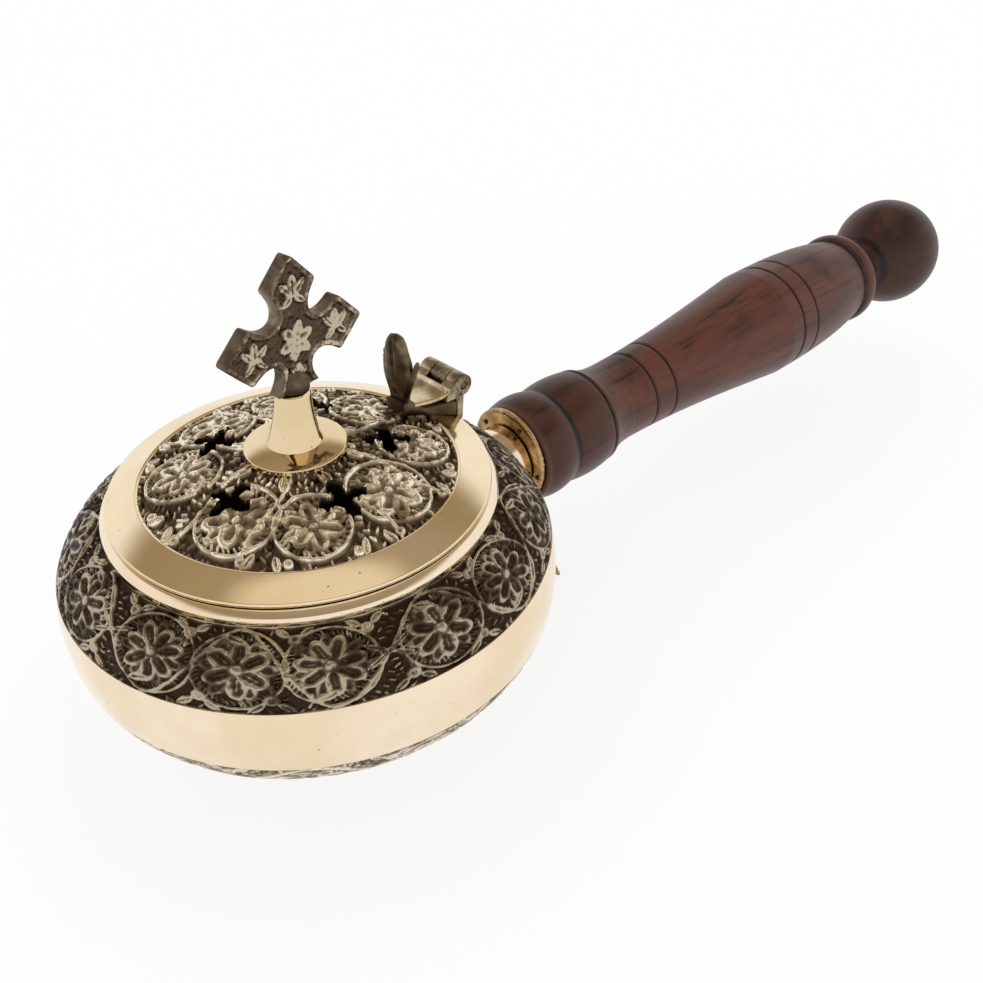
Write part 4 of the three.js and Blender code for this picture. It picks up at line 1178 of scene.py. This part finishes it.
lug_side = [(HINGE_AXIS_X - 0.25, HINGE_AXIS_Z - 0.4), (HINGE_AXIS_X - 0.25, 61.3), (40.1, 59.9),
            (40.1, 54.0), (42.1, 53.4), (42.3, 56.4), (42.0, 60.6), (42.0, HINGE_AXIS_Z)]
lug_arm = piece("hinge_lug_arm", across_hinge(lug_side, -LUG_HALF, LUG_HALF), "bowl_and_handle",
                "cast_brass", "hinge_lug", hinge_brass, smooth=40)
bevelled(lug_arm, 0.3)
piece("hinge_lug_barrel", knuckle(-LUG_HALF, LUG_HALF), "bowl_and_handle", "cast_brass", "hinge_lug",
      hinge_brass)


def plain_steel(name, bright, deep, roughness):
    """Turned steel, dulled by smoke: two greys in fine rings and a little rust brown."""
    material, tree, surface = metal(name)
    worn = tarnished(tree, patch_size=320.0, pit_size=1500.0, pits=0.8)
    tone = blended(tree, worn.outputs["Marks"], colour(bright), colour(deep))
    finished(tree, surface, blended(tree, worn.outputs["Pits"], tone, colour("4a3222")),
             spread(tree, worn.outputs["Patches"], 0.8 * roughness, 1.25 * roughness),
             bump(tree, worn.outputs["Marks"], strength=0.3, distance=0.00005))
    return material


hinge_steel = plain_steel("hinge_steel", bright="786a56", deep="4d4234", roughness=0.35)
pin_half = KNUCKLE_END + 0.15
pin_end = [(PIN_RADIUS, KNUCKLE_END - 0.15), (0.55, KNUCKLE_END + 0.1), (0, pin_half)]
pin_outline = [(radius, -along) for radius, along in pin_end[::-1]] + pin_end
piece("hinge_pin_turned", on_pin(turned(pin_outline, 32)), "bowl_and_handle", "steel", "hinge_pin",
      hinge_steel)

# The handle's socket is a short brass tube, turned and polished. It is let into the bowl's side
# and ends at the leg's flange.
HANDLE_HEIGHT = 38.3
SOCKET_RADIUS, SOCKET_BORE, SOCKET_END = 8.6, 6.6, 56.7


def along_handle(shell, height=HANDLE_HEIGHT, across=0.0):
    """Lays a shell that was turned about +Z down along the handle."""
    vertices, faces = shell
    return [(z, x + across, y + height) for x, y, z in vertices], faces


socket_shell = tube(SOCKET_BORE, SOCKET_RADIUS, BAND_RADIUS - 4.0, SOCKET_END, 0.35, 128, steps=4)
socket_brass = polished_brass("socket_brass", bright="f1dfc2", deep="e3caa0", roughness=0.08)
piece("handle_socket_tube", along_handle(socket_shell), "bowl_and_handle", "polished_brass",
      "handle_socket", socket_brass)

# The leg is one plate cast in brass and left rough: a round flange nailed to the end of the wood,
# running down into a strap that bends out under the handle and stands on the table.
PLATE_FACE, PLATE_THICKNESS, PLATE_RADIUS, PLATE_CENTRE = 57.0, 1.4, 11.45, 39.2
LEG_WIDTH, LEG_BEND, LEG_SPLAY = 15.2, 26.0, 9.8
PINS, FIRST_PIN, PIN_CIRCLE, NAIL_RADIUS = 5, 48.0, 10.03, 0.65

pin_centres = []
for i in range(PINS):
    turn = math.radians(FIRST_PIN + 360 * i / PINS)
    pin_centres.append((PIN_CIRCLE * math.sin(turn), HANDLE_HEIGHT + PIN_CIRCLE * math.cos(turn)))


def leg_distance(x, y):
    """Distance from the outline of the flange and the strap below it."""
    disc = np.hypot(x, y - PLATE_CENTRE) - PLATE_RADIUS
    strap = np.maximum(np.abs(x) - LEG_WIDTH / 2, np.maximum(-y, y - HANDLE_HEIGHT))
    blend = np.clip(1.5 - np.abs(disc - strap), 0, 1.5)
    return np.minimum(disc, strap) - 0.12 * blend


def leg_place(x, z, depth):
    """A place on the leg, from across, up and in from its front face."""
    drop = np.clip(LEG_BEND - z, 0, None)
    slope = LEG_SPLAY / LEG_BEND
    bend = slope * np.where(drop < 4, drop ** 2 / 8, drop - 2) * LEG_BEND / (LEG_BEND - 2)
    return np.stack([PLATE_FACE + bend + depth, x, z], axis=1)


leg_sheet = Carving(-PLATE_RADIUS - 0.5, 0.0, 2 * PLATE_RADIUS + 1, PLATE_CENTRE + PLATE_RADIUS + 0.5, 0.4)
leg_sheet.rough(amount=0.5, grain=3)
leg_sheet.rough(amount=0.4, grain=7)
for across, up in pin_centres:
    leg_sheet.dab(across, up, 1.5, rise=1.2, flat=0.3)
    leg_sheet.dent(across, up, 1.1, floor=-1.4)


def leg_front(x, z, height):
    """The strap's front face, lumpy as it was cast, with its edge worn round."""
    worn_edge = 0.35 * np.clip(1 + leg_distance(x, z) / 0.7, 0, 1) ** 2
    return leg_place(x, z, worn_edge - 0.09 * np.clip(height, -2, 1))


def leg_back(x, z, height):
    """The strap's back face."""
    worn_edge = 0.3 * np.clip(1 + leg_distance(x, z) / 0.7, 0, 1) ** 2
    return leg_place(x, z, PLATE_THICKNESS - worn_edge + 0.06 * np.clip(height, -1, 1))


leg_brass = cast_brass("leg_brass", bright="c9ab80", deep="86693f", roughness=0.27, grain_depth=0.0002)
leg_plate, _ = trimmed_plate(leg_sheet, leg_distance, leg_front, leg_back)
piece("leg_plate_cast", inside_out(leg_plate), "bowl_and_handle", "cast_brass", "leg_plate", leg_brass,
      smooth=60)

nail_brass = cast_brass("nail_brass", bright="6b5235", deep="35271a", roughness=0.45)
for i, (across, up) in enumerate(pin_centres):
    nail = turned([(0, PLATE_FACE - 0.42), (0.35, PLATE_FACE - 0.36), (NAIL_RADIUS, PLATE_FACE - 0.1),
                   (NAIL_RADIUS * 0.95, PLATE_FACE + 0.4), (NAIL_RADIUS * 0.9, PLATE_FACE + 9.0),
                   (0, PLATE_FACE + 11.2)], 24)
    piece(f"plate_pin_head_{i + 1}", along_handle(nail, up, across), "bowl_and_handle", "cast_brass",
          f"plate_pin_{i + 1}", nail_brass)

# The handle is turned in one piece from a dark close-grained wood: two beads, a waist, a long swell,
# a disc, a hollow neck and a ball. It is stained, waxed, and worn lighter where it is held.
GRIP_START = 58.7
GRIP_FRONT, BEAD_RADIUS, BEAD_LENGTH, BEAD_NOTCH, SECOND_BEAD = 12.2, 13.1, 10.2, 0.8, 12.6
WAIST_START, WAIST_RADIUS, WAIST_END, SWELL_START, SWELL_RADIUS = 32.0, 10.3, 46.0, 93.0, 15.2
GRIP_LENGTH, GRIP_END_RADIUS = 132.0, 12.4
DISC_RIM, DISC_LENGTH, NECK_RADIUS, BALL_RADIUS, BALL_CENTRE = 13.4, 5.4, 7.7, 15.8, 163.4
GROOVE_WIDTH, GROOVE_DEPTH = 1.0, 0.5
HANDLE_SIDES = 128
GRIP_GROOVES = [WAIST_END - 5.4, WAIST_END + 1.7, SWELL_START + 4.4, SWELL_START + 10.8]


def swell_radius(distance):
    """Radius of the long grip between its waist and its rear end."""
    if distance < SWELL_START:
        share = max((distance - WAIST_START) / (SWELL_START - WAIST_START), 0)
        radius = WAIST_RADIUS + (SWELL_RADIUS - WAIST_RADIUS) * share * share * (1.55 - 0.55 * share)
    else:
        share = (distance - SWELL_START) / (GRIP_LENGTH - SWELL_START)
        radius = SWELL_RADIUS - (SWELL_RADIUS - GRIP_END_RADIUS) * share ** 3
    for groove in GRIP_GROOVES:
        off = abs(distance - groove - GROOVE_WIDTH / 2) / (GROOVE_WIDTH / 2)
        radius -= GROOVE_DEPTH * max(1 - off ** 2, 0)
    return radius


beads_end = BEAD_LENGTH + SECOND_BEAD
disc_end = GRIP_LENGTH + DISC_LENGTH
ball_start = BALL_CENTRE - math.sqrt(BALL_RADIUS ** 2 - NECK_RADIUS ** 2)
grip = [(0, 0)] + rounded([(0, GRIP_FRONT - 2), (0, GRIP_FRONT - 0.6), (0.6, GRIP_FRONT)], 0.4)
grip += arc((0.7, GRIP_FRONT), (BEAD_LENGTH, BEAD_RADIUS - BEAD_NOTCH), 0.85, 18)
grip += arc((BEAD_LENGTH + 0.5, BEAD_RADIUS - BEAD_NOTCH), (beads_end, BEAD_RADIUS - 0.6), 0.6, 18)
grip += [(beads_end + 0.3, BEAD_RADIUS - 1.0), (beads_end + 0.7, BEAD_RADIUS - 1.15),
         (beads_end + 1.1, BEAD_RADIUS - 0.7), (beads_end + 1.6, BEAD_RADIUS - 0.75)]
grip += arc((beads_end + 2, BEAD_RADIUS - 1.0), (WAIST_START, WAIST_RADIUS + 0.1), -0.35, 10)
grip += [(x, swell_radius(x)) for x in np.arange(WAIST_START + 0.5, GRIP_LENGTH, 0.25)]
grip += [(GRIP_LENGTH, GRIP_END_RADIUS - 0.1), (GRIP_LENGTH + 0.4, GRIP_END_RADIUS - 0.5)]
grip += arc((GRIP_LENGTH + 0.9, DISC_RIM - 0.6), (disc_end, DISC_RIM - 0.7), 0.65, 14)
grip += arc((disc_end + 0.6, DISC_RIM - 1.5), (ball_start, NECK_RADIUS), -1.6, 16)
open_turn = math.asin(NECK_RADIUS / BALL_RADIUS)
grip += [(BALL_CENTRE - BALL_RADIUS * math.cos(a), BALL_RADIUS * math.sin(a))
         for a in np.linspace(open_turn, math.pi, 60)[1:-1]]
grip += [(BALL_CENTRE + BALL_RADIUS, 0)]
handle_shell = turned([(radius, GRIP_START + x) for x, radius in grip], HANDLE_SIDES)

grip_line = np.array(grip[1:-1])
grip_run = run_along(grip_line)
even = np.arange(0, grip_run[-1], 0.2)
even_radius = np.interp(even, grip_run, grip_line[:, 1])
even_broad = np.convolve(np.pad(even_radius, 12, mode="edge"), np.ones(25) / 25, mode="valid")
proud = np.interp(grip_run, even, np.clip(0.5 + 1.6 * (even_radius - even_broad), 0, 1))

WAX_ROUGHNESS = (0.3, 0.46)
BEADS_DARK_FROM, BEADS_DARK_TO, BALL_DARK_FROM, BALL_DARK_TO = 0.090, 0.080, 0.187, 0.193


def waxed_wood(name):
    """Dark stained wood: long grain and streaks, rubbed paler where it stands proud, black in its
    grooves, and darker on the beads and the ball, which no hand holds."""
    material = bpy.data.materials.new(name)
    material.use_nodes = True
    tree = material.node_tree
    surface = tree.nodes["Principled BSDF"]
    surface.inputs["Specular IOR Level"].default_value = 0.3
    places = object_places(tree.nodes)
    lengthwise = stretched(tree, places, (0.09, 1.0, 1.0))
    grain = noise(tree, lengthwise, scale=520.0, detail=5.0, roughness=0.62)
    streaks = noise(tree, lengthwise, scale=120.0, detail=3.0, roughness=0.5)
    clouds = noise(tree, places, scale=34.0, detail=4.0, roughness=0.55)
    stain = blended(tree, between(tree, streaks, 0.36, 0.64), colour("44231a"), colour("5f3324"))
    stain = blended(tree, between(tree, grain, 0.5, 0.7), stain, colour("351a11"))
    stain = blended(tree, between(tree, clouds, 0.54, 0.7), stain, colour("1f0e09"))
    waver = math_node(tree, "MULTIPLY", math_node(tree, "SUBTRACT", clouds, 0.5), 0.5)
    rub = math_node(tree, "ADD", carved_height(tree), waver)
    stain = blended(tree, between(tree, rub, 0.62, 0.95), stain, colour("6f4630"))
    stain = blended(tree, between(tree, rub, 0.38, 0.1), stain, colour("170b07"))
    along = tree.nodes.new("ShaderNodeSeparateXYZ")
    tree.links.new(places, along.inputs["Vector"])
    beads = between(tree, along.outputs["X"], BEADS_DARK_FROM, BEADS_DARK_TO)
    ball = between(tree, along.outputs["X"], BALL_DARK_FROM, BALL_DARK_TO)
    unhandled = math_node(tree, "MULTIPLY", math_node(tree, "MAXIMUM", beads, ball), 0.5)
    finished(tree, surface, blended(tree, unhandled, stain, colour("1c100b")),
             spread(tree, clouds, *WAX_ROUGHNESS), bump(tree, grain, strength=0.35, distance=0.00008))
    return material


piece("wooden_handle_turned", along_handle(handle_shell), "bowl_and_handle", "dark_wood",
      "wooden_handle", waxed_wood("waxed_dark_wood"), smooth=55,
      heights=np.append(np.repeat(proud, HANDLE_SIDES), (0.5, 0.5)))

# A round-headed steel screw goes from inside the bowl through a washer, the bowl's side, the socket
# and the plate into the wood, and holds them all together.
screw_head, screw_end = (corner[0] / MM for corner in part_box("handle_screw"))
washer_low, washer_high = (corner[0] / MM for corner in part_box("screw_washer"))
SCREW_RADIUS, HEAD_RADIUS, HEAD_HEIGHT, SCREW_WASHER_RADIUS, SCREW_BORE = 2.5, 5.0, 3.2, 6.8, 2.8
head_end = screw_head + HEAD_HEIGHT
screw_outline = [(0, screw_head), (1.6, screw_head + 0.15), (3.2, screw_head + 0.75),
                 (4.4, screw_head + 1.7), (HEAD_RADIUS, head_end - 0.2), (HEAD_RADIUS - 0.1, head_end),
                 (SCREW_RADIUS, head_end), (SCREW_RADIUS, screw_end - 4), (0, screw_end)]
handle_steel = plain_steel("handle_steel", bright="8b8985", deep="63605b", roughness=0.34)
piece("handle_screw_turned", along_handle(turned(screw_outline, 48)), "bowl_and_handle", "steel",
      "handle_screw", handle_steel)
washer_shell = tube(SCREW_BORE, SCREW_WASHER_RADIUS, washer_low, washer_high, 0.2, 48)
piece("screw_washer_turned", along_handle(washer_shell), "bowl_and_handle", "steel", "screw_washer",
      handle_steel)

# The photographer's table: a plain pale sweep under a white tent with a darker band high up and a
# soft light overhead, and the camera where the photograph was taken from.
CAMERA_PLACE = (-98.343, -166.384, 192.571)
CAMERA_RIGHT = (0.73213663, -0.68079542, -0.02221613)
CAMERA_DOWN = (-0.41181635, -0.41642237, -0.81055518)
CAMERA_FORWARD = (0.54257096, 0.6025861, -0.58524075)
CAMERA_LENS = 42.116
FLOOR_RADIUS = 3.0
TENT = [(0.0, "ffffff"), (0.5, "ffffff"), (0.66, "a2937c"), (0.9, "ada08c"), (0.96, "efe4d2")]

camera_data = bpy.data.cameras.new("camera")
camera_data.sensor_width = 36.0
camera_data.lens = CAMERA_LENS
camera_data.clip_start = 0.01
camera = bpy.data.objects.new("camera", camera_data)
turn = Matrix([CAMERA_RIGHT, [-x for x in CAMERA_DOWN], [-x for x in CAMERA_FORWARD]]).transposed()
camera.matrix_world = Matrix.Translation(Vector(CAMERA_PLACE) * MM) @ turn.to_4x4()
bpy.context.scene.collection.objects.link(camera)
bpy.context.scene.camera = camera

floor_mesh = bpy.data.meshes.new("table")
floor_mesh.from_pydata([(*out_from(0, 0, FLOOR_RADIUS, i * math.pi / 32), 0) for i in range(64)], [],
                       [tuple(range(64))])
table = bpy.data.objects.new("table", floor_mesh)
bpy.context.scene.collection.objects.link(table)
table_paper = bpy.data.materials.new("table_paper")
table_paper.use_nodes = True
paper = table_paper.node_tree
paper_surface = paper.nodes["Principled BSDF"]
paper_surface.inputs["Base Color"].default_value = (0.98, 0.98, 0.98, 1)
paper_surface.inputs["Roughness"].default_value = 0.9
paper_light = paper.nodes.new("ShaderNodeEmission")
paper_path = paper.nodes.new("ShaderNodeLightPath")
paper_seen = math_node(paper, "MAXIMUM", paper_path.outputs["Is Camera Ray"],
                       paper_path.outputs["Is Glossy Ray"])
paper_seen = math_node(paper, "MAXIMUM", paper_seen, paper_path.outputs["Is Transmission Ray"])
paper_mix = paper.nodes.new("ShaderNodeMixShader")
paper.links.new(math_node(paper, "MULTIPLY", paper_seen, 0.8), paper_mix.inputs["Fac"])
paper.links.new(paper_surface.outputs["BSDF"], paper_mix.inputs[1])
paper.links.new(paper_light.outputs["Emission"], paper_mix.inputs[2])
paper.links.new(paper_mix.outputs["Shader"], paper.nodes["Material Output"].inputs["Surface"])
floor_mesh.materials.append(table_paper)

world = bpy.data.worlds.new("studio")
bpy.context.scene.world = world
world.use_nodes = True
tent = world.node_tree
tent_up = tent.nodes.new("ShaderNodeSeparateXYZ")
tent.links.new(tent.nodes.new("ShaderNodeTexCoord").outputs["Generated"], tent_up.inputs["Vector"])
tent_ramp = tent.nodes.new("ShaderNodeValToRGB")
tent_ramp.color_ramp.interpolation = "EASE"
while len(tent_ramp.color_ramp.elements) < len(TENT):
    tent_ramp.color_ramp.elements.new(0.5)
for element, (height, code) in zip(tent_ramp.color_ramp.elements, TENT):
    element.position = height
    element.color = (*colour(code), 1)
tent.links.new(tent_up.outputs["Z"], tent_ramp.inputs["Fac"])
tent_path = tent.nodes.new("ShaderNodeLightPath")
tent_colour = blended(tent, tent_path.outputs["Is Glossy Ray"], (1.0, 1.0, 1.0), tent_ramp.outputs["Color"])
tent.links.new(tent_colour, tent.nodes["Background"].inputs["Color"])

bpy.context.scene.view_settings.view_transform = "Standard"
